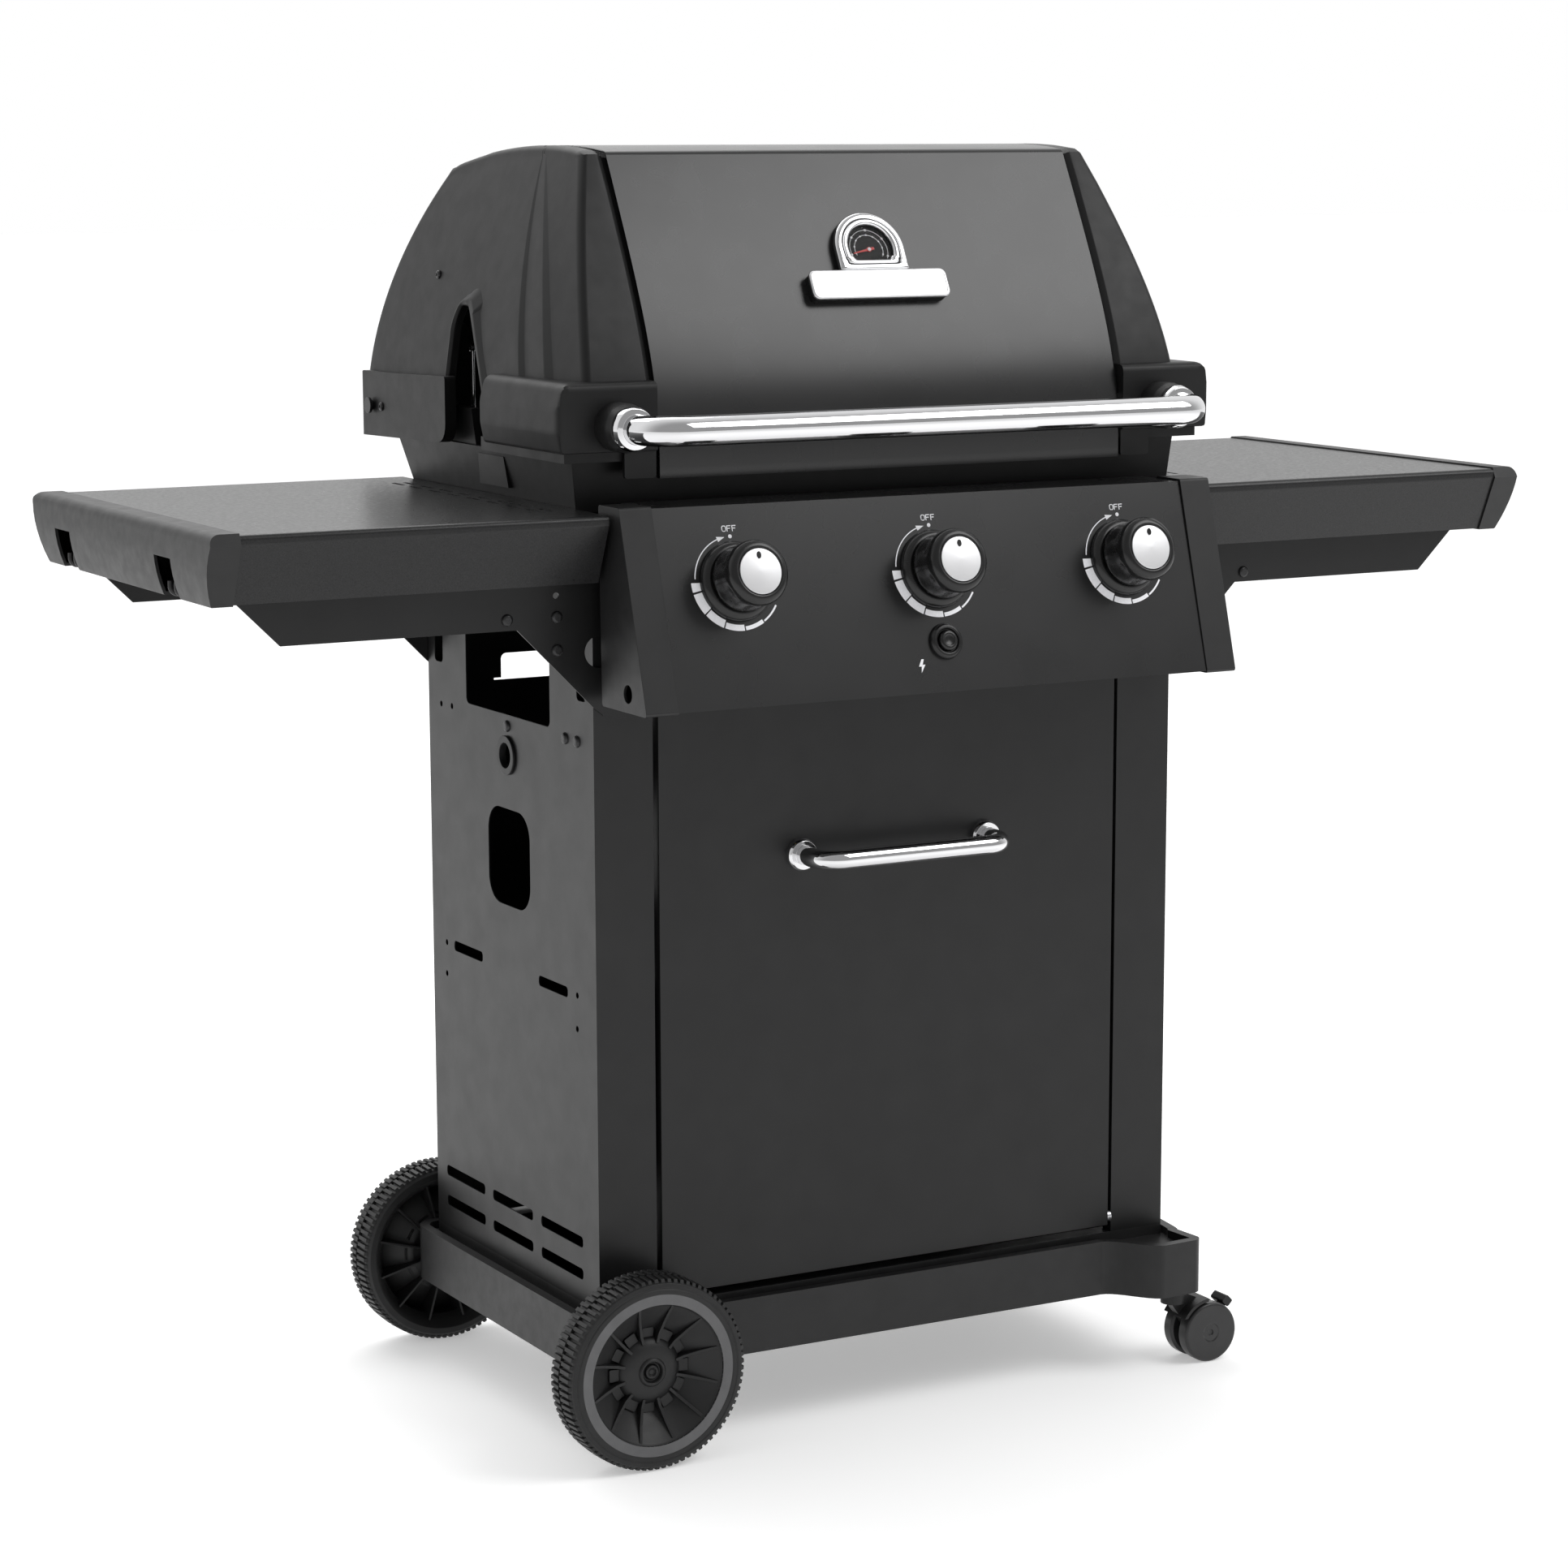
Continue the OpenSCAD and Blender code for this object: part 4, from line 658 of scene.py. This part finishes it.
def lid_end_casting(side, name, node):
    """The lid's moulded end: side with its ridge, front, top and rear walls."""
    made = side_columns()
    grid = [[(end_corner_x(z) + step * end_flare(z), y, z) for y, z, step in col] for col in made]
    shape = Shape()
    shape.sheet(grid, side)
    # Round the side's edge over to the outer walls
    edge = grid[0] + [col[-1] for col in grid[1:]] + grid[-1][-2::-1]
    flat = [(y, z) for _, y, z in edge]
    out = [Vector(n) for n in normals_2d(flat)]
    r = CORNER_R
    rows = []
    turns = 5
    for k in range(turns + 1):
        a = math.pi / 2 * k / turns
        rows.append([
            (x - r + r * math.cos(a), y - n.x * r * math.sin(a), z - n.y * r * math.sin(a))
            for (x, y, z), n in zip(edge, out)
        ])
    inner = LID_HALF_W + SEAM_W
    last = rows[-1]
    rows.append([(lerp(x, inner, 0.5), y, z) for x, y, z in last])
    # Lip that slopes down to the sheet
    rows.append([(inner + 6.5, y, z) for x, y, z in last])
    rows.append([(inner + 5, y + n.x * 0.6, z + n.y * 0.6) for (_, y, z), n in zip(last, out)])
    rows.append([(inner, y + n.x * 4, z + n.y * 4) for (_, y, z), n in zip(last, out)])
    # Flange that runs under the sheet
    under = 7
    rows.append([(inner, y + n.x * under, z + n.y * under) for (_, y, z), n in zip(last, out)])
    rows.append([(LID_HALF_W - 4, y + n.x * under, z + n.y * under) for (_, y, z), n in zip(last, out)])
    shape.sheet(rows, side)
    obj = shape.piece(name, "lid", "black_cast", "black_cast", [node], edge=0.9, segments=3, thick=4)
    cut(obj, Shape().prism(notch_outline(), 250, 400, side @ from_side()))


# Spit notch seen from the side, from the handle boss over its top to the band
NOTCH = [(190, 900), (192, 1004), (243, 1080), (253, 1091), (268, 1091), (277, 1076), (277, 900)]
NOTCH_RADII = [0, 10, 14, 8, 8, 30, 0]
# The band round the back of the lid, seen from the side
BAND = [(265, 1023), (265, 958), (481, 952.5), (481, 985), (478, 1018), (400, 1019)]
# The block that carries the handle
BOSS_LOW_Z = 966
BOSS_TOP_Z = 1031
BOSS_REAR_Y = 163
BOSS_OUT_X = 361
# The walls below and behind it
SKIRT_OUT_X = 351
BAND_OUT_X = 352


def notch_outline():
    return rounded(NOTCH, NOTCH_RADII)


def lid_end_boss(side, name):
    """Block at the front lower corner that carries the handle, and the band round the back."""
    shape = Shape()
    low, top = BOSS_LOW_Z, BOSS_TOP_Z
    front = rounded([
        (INNER_X, low), (BOSS_OUT_X - 4, low), (BOSS_OUT_X, low + 20), (BOSS_OUT_X, top - 24),
        (BOSS_OUT_X - 6, top), (INNER_X, top)
    ], [1, 4, 30, 30, 12, 1], 5)
    rings = []
    # Rounded over towards the front and cut square at the back
    for y, shrink in ((-9, 9), (-8.4, 4.5), (-6.5, 1.8), (-3, 0.4), (2, 0), (BOSS_REAR_Y, 0)):
        out = BOSS_OUT_X - shrink * 0.5
        rings.append([(min(x, out), y, max(min(z, top - shrink), low + shrink * 0.2)) for x, z in front])
    shape.rings(rings, side)
    # Skirt below the block, back to the spit notch
    skirt_y = NOTCH[0][0] - 2
    skirt = [(INNER_X, 0), (SKIRT_OUT_X, 0), (SKIRT_OUT_X - 2, skirt_y), (INNER_X, skirt_y)]
    shape.prism(skirt, low - 9, low + 4, side)
    # Front wall beside the sheet's lower edge
    wall = columns((1, 0, 0), (0, 0, 1), (0, 1, 0), (275, 0, 955))
    shape.prism(round_rect(33, 28, 3), -5.5, -1.5, side @ wall)
    shape.piece(name + "_boss", "lid", "black_cast", "black_cast", [], edge=2, segments=3, angle=40)

    shape = Shape()
    plan = rounded([
        (BAND_OUT_X, 260), (BAND_OUT_X - 2, 483), (INNER_X, 483), (INNER_X, 476), (BAND_OUT_X - 12, 474),
        (BAND_OUT_X - 12, 260)
    ], [0, 12, 0, 0, 6, 0])
    shape.prism(plan, 940, 1030, side)
    obj = shape.piece(name + "_band", "lid", "black_cast", "black_cast", [], edge=2.4, segments=3)
    band = Shape().prism(rounded(BAND, [3, 20, 3, 40, 8, 100]), 200, 400, side @ from_side())
    cut(obj, band, "INTERSECT")


def notch_rim(side, name):
    """Raised rim around the spit notch, wide along its front leg."""
    line = rounded([(190, SIDE_LOW_Z), *NOTCH[1:6], (277, 1003)], NOTCH_RADII, 6, closed=False)
    total = len(line) - 1
    out = normals_2d(line)
    rings = []
    for i, ((y, z), n) in enumerate(zip(line, out)):
        t = i / total
        width = 9 + 17 * smooth(t / 0.4) - 17 * smooth((t - 0.42) / 0.25)
        crest = 0.35 * width
        ring = []
        for across, lift in ((0, -6), (0.3, 1.6), (1.6, 3), (crest, 4.2), (crest + 2, 3.9), (width, -1)):
            py, pz = y - n.x * across, z - n.y * across
            ring.append((end_side_x(pz) + lift, py, pz))
        rings.append(ring)
    Shape().rings(rings, side).piece(name + "_rim", "lid", "black_cast", "black_cast", [], edge=0.5)


def screw(shape, place, r=4.5, h=2.6):
    """Round head with a socket, standing on local Z = 0."""
    shape.turned([
        (0.01, -1), (r, -1), (r, 0.4 * h), (0.85 * r, 0.8 * h), (0.55 * r, h), (0.36 * r, h),
        (0.32 * r, 0.3 * h), (0.01, 0.3 * h)
    ], place, 20)


def side_place(side, x, y, z):
    """A place on a side face, with local Z pointing out."""
    return side @ from_side(x) @ Matrix.Translation((y, z, 0))


def lid_end_screws(side, name):
    """The screw high on the casting and the one in its band."""
    shape = Shape()
    screw(shape, side_place(side, end_side_x(1118), 342, 1118))
    screw(shape, side_place(side, 350.5, 424, 984))
    shape.piece(name + "_screws", "lid", "black_screw", "black_screw", [], edge=0)


# ---------------------------------------------------------------- wheels

WHEEL_R = 94.9
WHEEL_W = 45
TREAD_BLOCKS = 84
WHEEL_RIBS = 12
WHEEL_PLACE = columns((1, 0, 0), (0, 0, -1), (0, 1, 0), (-300, -77, WHEEL_R))


def wheel_body(place, name, body, node):
    """A plastic wheel: tread with two rows of blocks, dished disc with ribs, domed hub."""
    shape = Shape()
    base = WHEEL_R - 3.4
    # Side wall, tread band, back and the seat of the trim ring
    shape.turned([
        (69.6, 2), (69.6, 0.4), (71, 0.2), (71, 2.1), (79.2, 2.1), (79.2, 0.2), (80.6, 0), (84, 0.3),
        (84.6, 1), (85.6, 1), (86.2, 0.5), (90, 1.4), (base, 4), (base, WHEEL_W - 4), (88, WHEEL_W - 0.5),
        (82, WHEEL_W), (78, WHEEL_W - 3), (73, 34), (69.6, 30), (69.6, 2)
    ], place, 96)
    # Tread blocks in two staggered rows, each sloping down to its side of the wheel
    half = 2 * math.pi * WHEEL_R / TREAD_BLOCKS * 0.31
    tip = half * 0.85
    root = base - 1
    for stagger, outer, inner, slope in ((0, 2.6, 21.3, 1.7), (0.5, WHEEL_W - 2.6, 23.7, -1.7)):
        for i in range(TREAD_BLOCKS):
            turn = Matrix.Rotation(2 * math.pi * (i + stagger) / TREAD_BLOCKS, 4, "Z")
            edge = outer + slope
            low_r = WHEEL_R - 0.8
            shape.rings([
                [(root, -half, outer), (root, half, outer), (root, half, inner), (root, -half, inner)],
                [(low_r, -tip, edge), (low_r, tip, edge), (WHEEL_R, tip, inner), (WHEEL_R, -tip, inner)],
            ], place @ turn)
    shape.piece(name + "_tread", body, "tyre", "black_resin", [node], edge=0.35, angle=35)

    shape = Shape()
    # Dished disc
    shape.turned([
        (34, 27), (38, 26), (67.4, 5), (69.3, 2.2), (70.3, 2.2), (70.3, 8), (66, 12), (38, 30), (34, 31),
        (34, 27)
    ], place, 96)
    # Domed hub with a ring and a dimple at its centre
    shape.turned([
        (0.01, 15), (2.4, 14.9), (3.2, 15.8), (3.8, 15.4), (4.2, 14), (5.4, 13.4), (6.6, 14), (7.2, 16),
        (8.2, 16.8), (9.4, 16.4), (10, 13), (11, 11.9), (12.4, 11.8), (13.6, 12.8), (14.4, 14.2),
        (16, 14), (22, 14.8), (27, 16.6), (31, 19.4), (33.4, 22.6), (34.2, 27), (34.2, 31), (20, 31),
        (14, 33), (14, 42), (8.5, 42), (8.5, 24), (0.01, 24)
    ], place, 72)
    upright = columns((1, 0, 0), (0, 0, 1), (0, -1, 0))
    for i in range(WHEEL_RIBS):
        turn = Matrix.Rotation(2 * math.pi * (i + 0.5) / WHEEL_RIBS, 4, "Z")
        # Rib in front of the disc, falling towards the rim
        rib = rounded(
            [(28, 16.5), (37, 16.5), (52, 11.4), (67, 4.2), (70, 4.2), (70, 9), (40, 28), (28, 28)],
            [0, 5, 20, 0, 0, 0, 0, 0], 4)
        shape.prism(rib, -1.5, 1.5, place @ turn @ upright)
        # Rib behind it
        back = [(13, 30), (36, 29), (70, 8), (74, 33), (76, 38), (13, 40)]
        shape.prism(back, -1.2, 1.2, place @ turn @ upright)
        # Stub between two ribs on the hub's flank
        between = place @ Matrix.Rotation(2 * math.pi * i / WHEEL_RIBS, 4, "Z")
        stub = rounded([(30, -5.6), (42, -6.4), (42, 6.4), (30, 5.6)], [0, 1.6, 1.6, 0], 3)
        shape.prism(stub, 22.4 if i % 2 else 21, 29, between)
    shape.piece(name + "_disc", body, "black_resin", "black_resin", [], edge=0.5, angle=35)


# The wheels mirror about the middle of the base
REAR_WHEEL_PLACE = mirror_back(190) @ WHEEL_PLACE

# ---------------------------------------------------------------- control panel

PANEL_TOP = (-59, 918)
PANEL_LOW = (-113, 735)
PANEL_LEN = math.hypot(PANEL_TOP[0] - PANEL_LOW[0], PANEL_TOP[1] - PANEL_LOW[1])
PANEL_UP = ((PANEL_TOP[0] - PANEL_LOW[0]) / PANEL_LEN, (PANEL_TOP[1] - PANEL_LOW[1]) / PANEL_LEN)
KNOB_PITCH = 214.3
KNOB_UP = 118.5
IGNITER_UP = 48.5
# A print's back and front in the panel's face
PRINT = (-0.1, 0.25)


def on_panel(x, up):
    """A place on the control panel's face: local Y runs up along it and Z out of it."""
    y = PANEL_LOW[0] + PANEL_UP[0] * up
    z = PANEL_LOW[1] + PANEL_UP[1] * up
    return columns((1, 0, 0), (0, PANEL_UP[0], PANEL_UP[1]), (0, -PANEL_UP[1], PANEL_UP[0]), (x, y, z))


def knob(place, name, body, node):
    """Scalloped control knob with a bright disc in its face."""

    def scalloped(angle, r, h):
        """Six lobes along the middle of the grip."""
        if r < 24 or h < 14:
            return r
        lobe = 0.5 + 0.5 * math.cos(6 * angle)
        depth = 2.6 * smooth((h - 13) / 6) * (1 - smooth((h - 33) / 10))
        return r - depth * (1 - lobe ** 0.6)

    shape = Shape()
    profile = [
        (0.01, 13), (26, 13), (30, 13.3), (31.2, 14.4), (31.5, 17), (31.3, 22), (31, 28), (31, 33),
        (31.2, 38), (31.2, 42), (30.6, 45.4), (29.2, 47.8), (27, 49.4), (24.6, 50.2), (22.8, 50.2),
        (22, 49.6), (21.7, 48.6), (0.01, 48.6)
    ]
    shape.turned(profile, place, 144, scalloped)
    shape.piece(name + "_grip", body, "gloss_black", "gloss_black", [node], edge=0)
    shape = Shape()
    shape.turned([(0.01, 48.2), (21.5, 48.2), (21.5, 50.3), (20.9, 50.9), (0.01, 51.3)], place, 72)
    shape.piece(name + "_disc", body, "satin_silver", "chrome", [], edge=0)
    # Pointer near the disc's edge: a small oval
    shape = Shape()
    oval = [(2.2 * math.cos(a), 15 + 3.4 * math.sin(a)) for a in (2 * math.pi * i / 24 for i in range(24))]
    shape.prism(oval, 51.0, 51.7, place)
    shape.piece(name + "_pointer", body, "gloss_black", "gloss_black", [], edge=0.2)


def ring_mark(shape, place, r_in, r_out, start, end, steps=24):
    """A printed arc, angles from 12 o'clock, positive to the right."""
    inner, outer = [], []
    for i in range(steps + 1):
        a = math.radians(90 - lerp(start, end, i / steps))
        inner.append((r_in * math.cos(a), r_in * math.sin(a)))
        outer.append((r_out * math.cos(a), r_out * math.sin(a)))
    shape.prism(inner + outer[::-1], *PRINT, place)


def knob_scale(shape, place):
    """Marks printed round a knob: off dot, turning arrow and a tapering heat scale."""
    r = 42.5
    dot = [(1.9 * math.cos(a), r + 1.9 * math.sin(a)) for a in (math.pi * i / 10 for i in range(20))]
    shape.prism(dot, *PRINT, place)
    ring_mark(shape, place, r - 0.5, r + 0.5, -84, -19)
    tip = math.radians(90 + 8)
    back = math.radians(90 + 19)
    shape.prism([
        (r * math.cos(tip), r * math.sin(tip)), ((r + 2.6) * math.cos(back), (r + 2.6) * math.sin(back)),
        ((r - 2.6) * math.cos(back), (r - 2.6) * math.sin(back))
    ], *PRINT, place)
    rim = 47
    ring_mark(shape, place, rim - 11, rim, -100, -89, 8)
    start = -102.5
    for width in (10, 8, 6.2, 4.4, 2.6):
        ring_mark(shape, place, rim - width, rim - 0.12 * (10 - width), start, start - 25.5, 12)
        start -= 27.3


# Strokes of the capital letters O and F in a box 4 wide and 5 high
LETTER_O = [[(1, 0), (3, 0), (4, 1), (4, 4), (3, 5), (1, 5), (0, 4), (0, 1), (1, 0)]]
LETTER_F = [[(0, 0), (0, 5), (3.6, 5)], [(0, 2.6), (3, 2.6)]]


def printed_word(shape, place, letters, height):
    """Letters from straight strokes, centred above the place."""
    k = height / 5
    width = (len(letters) * 5.4 - 1.4) * k
    for i, strokes in enumerate(letters):
        for stroke in strokes:
            for a, b in zip(stroke, stroke[1:]):
                start = Vector((a[0] * k + i * 5.4 * k - width / 2, a[1] * k))
                end = Vector((b[0] * k + i * 5.4 * k - width / 2, b[1] * k))
                along = (end - start).normalized() * 0.3
                across = Vector((-along.y, along.x)) * 1.4
                start -= along
                end += along
                quad = [start - across, end - across, end + across, start + across]
                shape.prism([tuple(q) for q in quad], *PRINT, place)


def panel_prints():
    """Everything printed in white on the control panel."""
    shape = Shape()
    for i in (-1, 0, 1):
        place = on_panel(i * KNOB_PITCH, KNOB_UP)
        knob_scale(shape, place)
        printed_word(shape, place @ Matrix.Translation((0, 47.5, 0)), [LETTER_O, LETTER_F, LETTER_F], 5)
    # Spark next to the igniter
    spark = [(0, 6.5), (-3.6, -0.4), (-0.6, -0.4), (-1.6, -6.5), (3.6, 1.2), (0.5, 1.2), (2.6, 6.5)]
    shape.prism(spark, *PRINT, on_panel(-29, IGNITER_UP - 22))
    shape.piece("panel_prints", "cart", "print_white", None, [], edge=0)


def knob_bezel(shape, place):
    """Flared collar behind a knob."""
    shape.turned([
        (14, -1), (38, -1), (38, 2.2), (37.6, 4), (36.6, 6), (35, 7.8), (32.8, 9.2), (30.6, 9.6), (29, 9.2),
        (28, 7.6), (27, 5.4), (14, 5), (14, -1)
    ], place, 96)


def igniter():
    """The igniter's ring and its button."""
    place = on_panel(0, IGNITER_UP)
    shape = Shape()
    shape.turned([
        (10.2, -6), (17.6, -6), (17.6, 1.2), (17, 3.4), (15.4, 5.4), (13.6, 6.2), (12.2, 6), (11.4, 5),
        (11, 3.6), (10.2, 3.4), (10.2, -6)
    ], place, 72)
    shape.piece("igniter_ring", "cart", "gloss_black", "gloss_black", [], edge=0)
    shape = Shape()
    shape.turned([
        (0.01, 2), (9.7, 2), (9.7, 6.6), (9.2, 7.8), (8, 8.6), (6.2, 8.8), (5.2, 8.2), (4.4, 7.6), (0.01, 7.4)
    ], place, 64)
    shape.piece("igniter_cap", "igniter", "gloss_black", "gloss_black", ["igniter_button"], edge=0)


# ---------------------------------------------------------------- lid gauge

GAUGE_R = 38
DIAL_R = 24.5
DIAL_LOW = -12.6
DIAL_CORNER_R = 4
# The badge's middle below the dial's, its width and height, and the slope of the lid behind them
BADGE_UP = -38.3
BADGE = (152, 30)
GAUGE_TILT = math.radians(62)
GAUGE_PLACE = columns(
    (1, 0, 0), (0, math.cos(GAUGE_TILT), math.sin(GAUGE_TILT)),
    (0, -math.sin(GAUGE_TILT), math.cos(GAUGE_TILT)), (0, 52.5, 1143)
)


def dished_front(outer, inner, profile):
    """Rings blended from one outline to another; profile is (blend, height)."""
    return [[(*Vector(a).lerp(Vector(b), t), h) for a, b in zip(outer, inner)] for t, h in profile]


def ray_outline(inside, steps=96, middle=(0, 3)):
    """Points where rays from the middle leave a shape given by a test on (x, y)."""
    made = []
    for i in range(steps):
        a = 2 * math.pi * i / steps
        low, high = 0.0, 120.0
        for _ in range(24):
            reach = (low + high) / 2
            if inside(middle[0] + reach * math.cos(a), middle[1] + reach * math.sin(a)):
                low = reach
            else:
                high = reach
        made.append((middle[0] + low * math.cos(a), middle[1] + low * math.sin(a)))
    return made


def gauge():
    """The lid's gauge: bright arched rim, a case whose chrome sides are painted black as a painted
    reflection, dial with its marks and the needle's pivot.
    """
    foot = BADGE_UP + BADGE[1] / 2

    def in_arch(x, y):
        return y > foot and (math.hypot(x, y) < GAUGE_R or (abs(x) < GAUGE_R and y < 0))

    def in_dial(x, y):
        corner = max(0.0, abs(x) - 16.5), max(0.0, DIAL_LOW + DIAL_CORNER_R - y)
        foot_round = y < DIAL_LOW + DIAL_CORNER_R
        return math.hypot(x, y) < DIAL_R and (not foot_round or math.hypot(*corner) < DIAL_CORNER_R)

    arch = ray_outline(in_arch)
    dial = ray_outline(in_dial)
    shape = Shape()
    shape.rings(dished_front(arch, dial, [
        (0.0, 6), (0.0, 8.6), (0.03, 9.6), (0.12, 10.8), (0.22, 11.3), (0.42, 11.5), (0.47, 11.3),
        (0.5, 10.4), (0.53, 9.6), (0.57, 9.6), (0.6, 10.6), (0.64, 11.6), (0.7, 12.0), (0.82, 11.9),
        (0.92, 11.3), (0.98, 10.2), (1.0, 9.2), (1.0, 5.2), (0.0, 5.2)
    ]), GAUGE_PLACE, close=True)
    shape.piece("gauge_rim", "lid", "chrome", "chrome", ["gauge_bezel"], edge=0)
    # Painted shade: a dark ring laid in the chrome rim's groove
    shape = Shape()
    groove = [(0.485, 9.2), (0.485, 10.5), (0.585, 10.5), (0.585, 9.2), (0.485, 9.2)]
    shape.rings(dished_front(arch, dial, groove), GAUGE_PLACE, close=True)
    shape.piece("gauge_groove_painted_shade", "lid", "gloss_black", "chrome", [], edge=0)
    # The case's chrome sides are painted black: a painted reflection of dark surroundings
    shape = Shape()
    back = [(x * 0.985, y * 0.985) for x, y in arch]
    shape.prism(back, -3, 5.4, GAUGE_PLACE)
    shape.piece("gauge_case_painted_reflection", "lid", "gloss_black", "chrome", [], edge=0.5)
    disc = Shape().prism(dial, 0, 0.4, GAUGE_PLACE @ Matrix.Translation((0, 0, 5.3)))
    disc.piece("gauge_disc", "lid", "dial_face", "dial_face", ["gauge_dial"], edge=0)
    # Two printed scales with their marks
    shape = Shape()
    face = GAUGE_PLACE @ Matrix.Translation((0, 0, 5.75))
    for r, half, marks, size in ((20.6, 0.22, 5, 1.1), (15.4, 0.22, 9, 0.8)):
        ring_mark(shape, face, r - half, r + half, -112, 118, 40)
        for i in range(marks):
            turn = lerp(-104, 110, i / (marks - 1))
            ring_mark(shape, face, r - size, r + size, turn - 50 * size / r, turn + 50 * size / r, 3)
    shape.piece("gauge_marks", "lid", "print_white", None, [], edge=0)
    shape = Shape()
    shape.turned([(0.01, 6.2), (1.9, 6.2), (1.9, 7), (1.2, 7.5), (0.01, 7.6)], GAUGE_PLACE, 20)
    shape.piece("needle_pivot", "needle", "print_white", None, [], edge=0)


def badge():
    """Blank badge: bright face on a backing whose chrome sides are painted black as a painted reflection."""
    place = GAUGE_PLACE @ Matrix.Translation((0, BADGE_UP, 0))
    outer = round_rect(*BADGE, 7, 8)
    width, height = BADGE
    rings = []
    for inset, h in ((0, 8.4), (0, 10.4), (0.5, 11.4), (1.4, 11.9), (2.6, 12), (3, 11.6), (3.4, 11.5)):
        rings.append([(x * (1 - 2 * inset / width), y * (1 - 2 * inset / height), h) for x, y in outer])
    shape = Shape().rings(rings, place)
    shape.piece("badge_face", "lid", "satin_silver", "chrome", ["badge_plate"], edge=0)
    # The backing's chrome sides are painted black: a painted reflection of dark surroundings
    shape = Shape().prism([(x * 0.99, y * 0.96) for x, y in outer], -6, 9, place)
    shape.piece("badge_back_painted_reflection", "lid", "gloss_black", "chrome", [], edge=0.6)


# ---------------------------------------------------------------- building

lid_sheet()
for hand, mirror in (("left", MIRROR_X), ("right", Matrix())):
    lid_end_casting(mirror, hand + "_lid_casting", hand + "_lid_end")
    lid_end_boss(mirror, hand + "_lid")
    notch_rim(mirror, hand + "_lid")
    lid_end_screws(mirror, hand + "_lid")
wheel_body(WHEEL_PLACE, "front_wheel", "front_wheel_body", "front_wheel")
wheel_body(REAR_WHEEL_PLACE, "rear_wheel", "rear_wheel_body", "rear_wheel")
for offset, hand in ((-1, "left"), (0, "centre"), (1, "right")):
    knob(on_panel(offset * KNOB_PITCH, KNOB_UP), hand + "_knob", hand + "_knob", "knob_" + hand)
bezels = Shape()
for offset in (-1, 0, 1):
    knob_bezel(bezels, on_panel(offset * KNOB_PITCH, KNOB_UP))
bezels.piece("knob_collars", "cart", "gloss_black", "black_resin", ["knob_bezels"], edge=0.3)
panel_prints()
igniter()
gauge()
badge()

# ---------------------------------------------------------------- stage

# A glow as of a lit table keeps the ground as pale as the background
FLOOR_GLOW = 0.36
# Strength of the white studio behind the camera and behind the grill
WORLD_NEAR = 0.4
WORLD_FAR = 1.0
# Lights as (name, place, aim, size, power), in metres and watts
LIGHTS = (
    ("key", (2.0, -2.1, 3.3), (0, 0, 1.1), (2.2, 2.0), 60),
    ("top", (0, 3.4, 5.0), (0, 0.6, 0), (5, 4), 130),
)
# The camera's place, and its angles in degrees
CAMERA_AT = (-1969.9, -3375.3, 1272.2)
CAMERA_DOWN = 10.5
CAMERA_TURN = -29.49
CAMERA_LENS = 92.9
CAMERA_SHIFT = (-0.0344, 0.0525)


def floor():
    bpy.ops.mesh.primitive_plane_add(size=80, location=(0, 0, 0))
    sheet = bpy.context.object
    sheet.name = "floor"
    look = Look("floor_white", (0.9, 0.9, 0.9), 0.7, specular=0.2)
    look.vary_color(look.noise(1.5, 2), (0.89, 0.89, 0.89), (0.91, 0.91, 0.91))
    look.set("Emission Color", (1, 1, 1, 1))
    look.set("Emission Strength", FLOOR_GLOW)
    sheet.data.materials.append(look.mat)


def area_light(name, place, aim, size, power):
    data = bpy.data.lights.new(name, "AREA")
    data.shape = "RECTANGLE"
    data.size, data.size_y = size
    data.energy = power
    lamp = bpy.data.objects.new(name, data)
    lamp.location = place
    lamp.rotation_euler = (Vector(aim) - Vector(place)).to_track_quat("-Z", "Y").to_euler()
    bpy.context.scene.collection.objects.link(lamp)


def studio():
    world = bpy.data.worlds.new("studio")
    bpy.context.scene.world = world
    world.use_nodes = True
    tree = world.node_tree
    # A white studio that is dimmer behind the camera than behind the grill
    direction = tree.nodes.new("ShaderNodeTexCoord").outputs["Generated"]
    parts = tree.nodes.new("ShaderNodeSeparateXYZ")
    tree.links.new(direction, parts.inputs[0])
    dim = tree.nodes.new("ShaderNodeMapRange")
    dim.interpolation_type = "SMOOTHSTEP"
    dim.inputs["From Min"].default_value = -0.6
    dim.inputs["From Max"].default_value = 0.4
    dim.inputs["To Min"].default_value = WORLD_NEAR
    dim.inputs["To Max"].default_value = WORLD_FAR
    tree.links.new(parts.outputs["Y"], dim.inputs["Value"])
    tree.links.new(dim.outputs["Result"], tree.nodes["Background"].inputs["Strength"])
    tree.nodes["Background"].inputs["Color"].default_value = (1, 1, 1, 1)
    for light in LIGHTS:
        area_light(*light)


def camera():
    data = bpy.data.cameras.new("camera")
    data.sensor_width = 36.0
    data.lens = CAMERA_LENS
    data.shift_x, data.shift_y = CAMERA_SHIFT
    data.clip_end = 100
    cam = bpy.data.objects.new("camera", data)
    cam.location = at(*CAMERA_AT)
    cam.rotation_euler = (math.radians(90 - CAMERA_DOWN), 0, math.radians(CAMERA_TURN))
    bpy.context.scene.collection.objects.link(cam)
    bpy.context.scene.camera = cam


floor()
studio()
camera()
bpy.context.scene.view_settings.view_transform = "Standard"
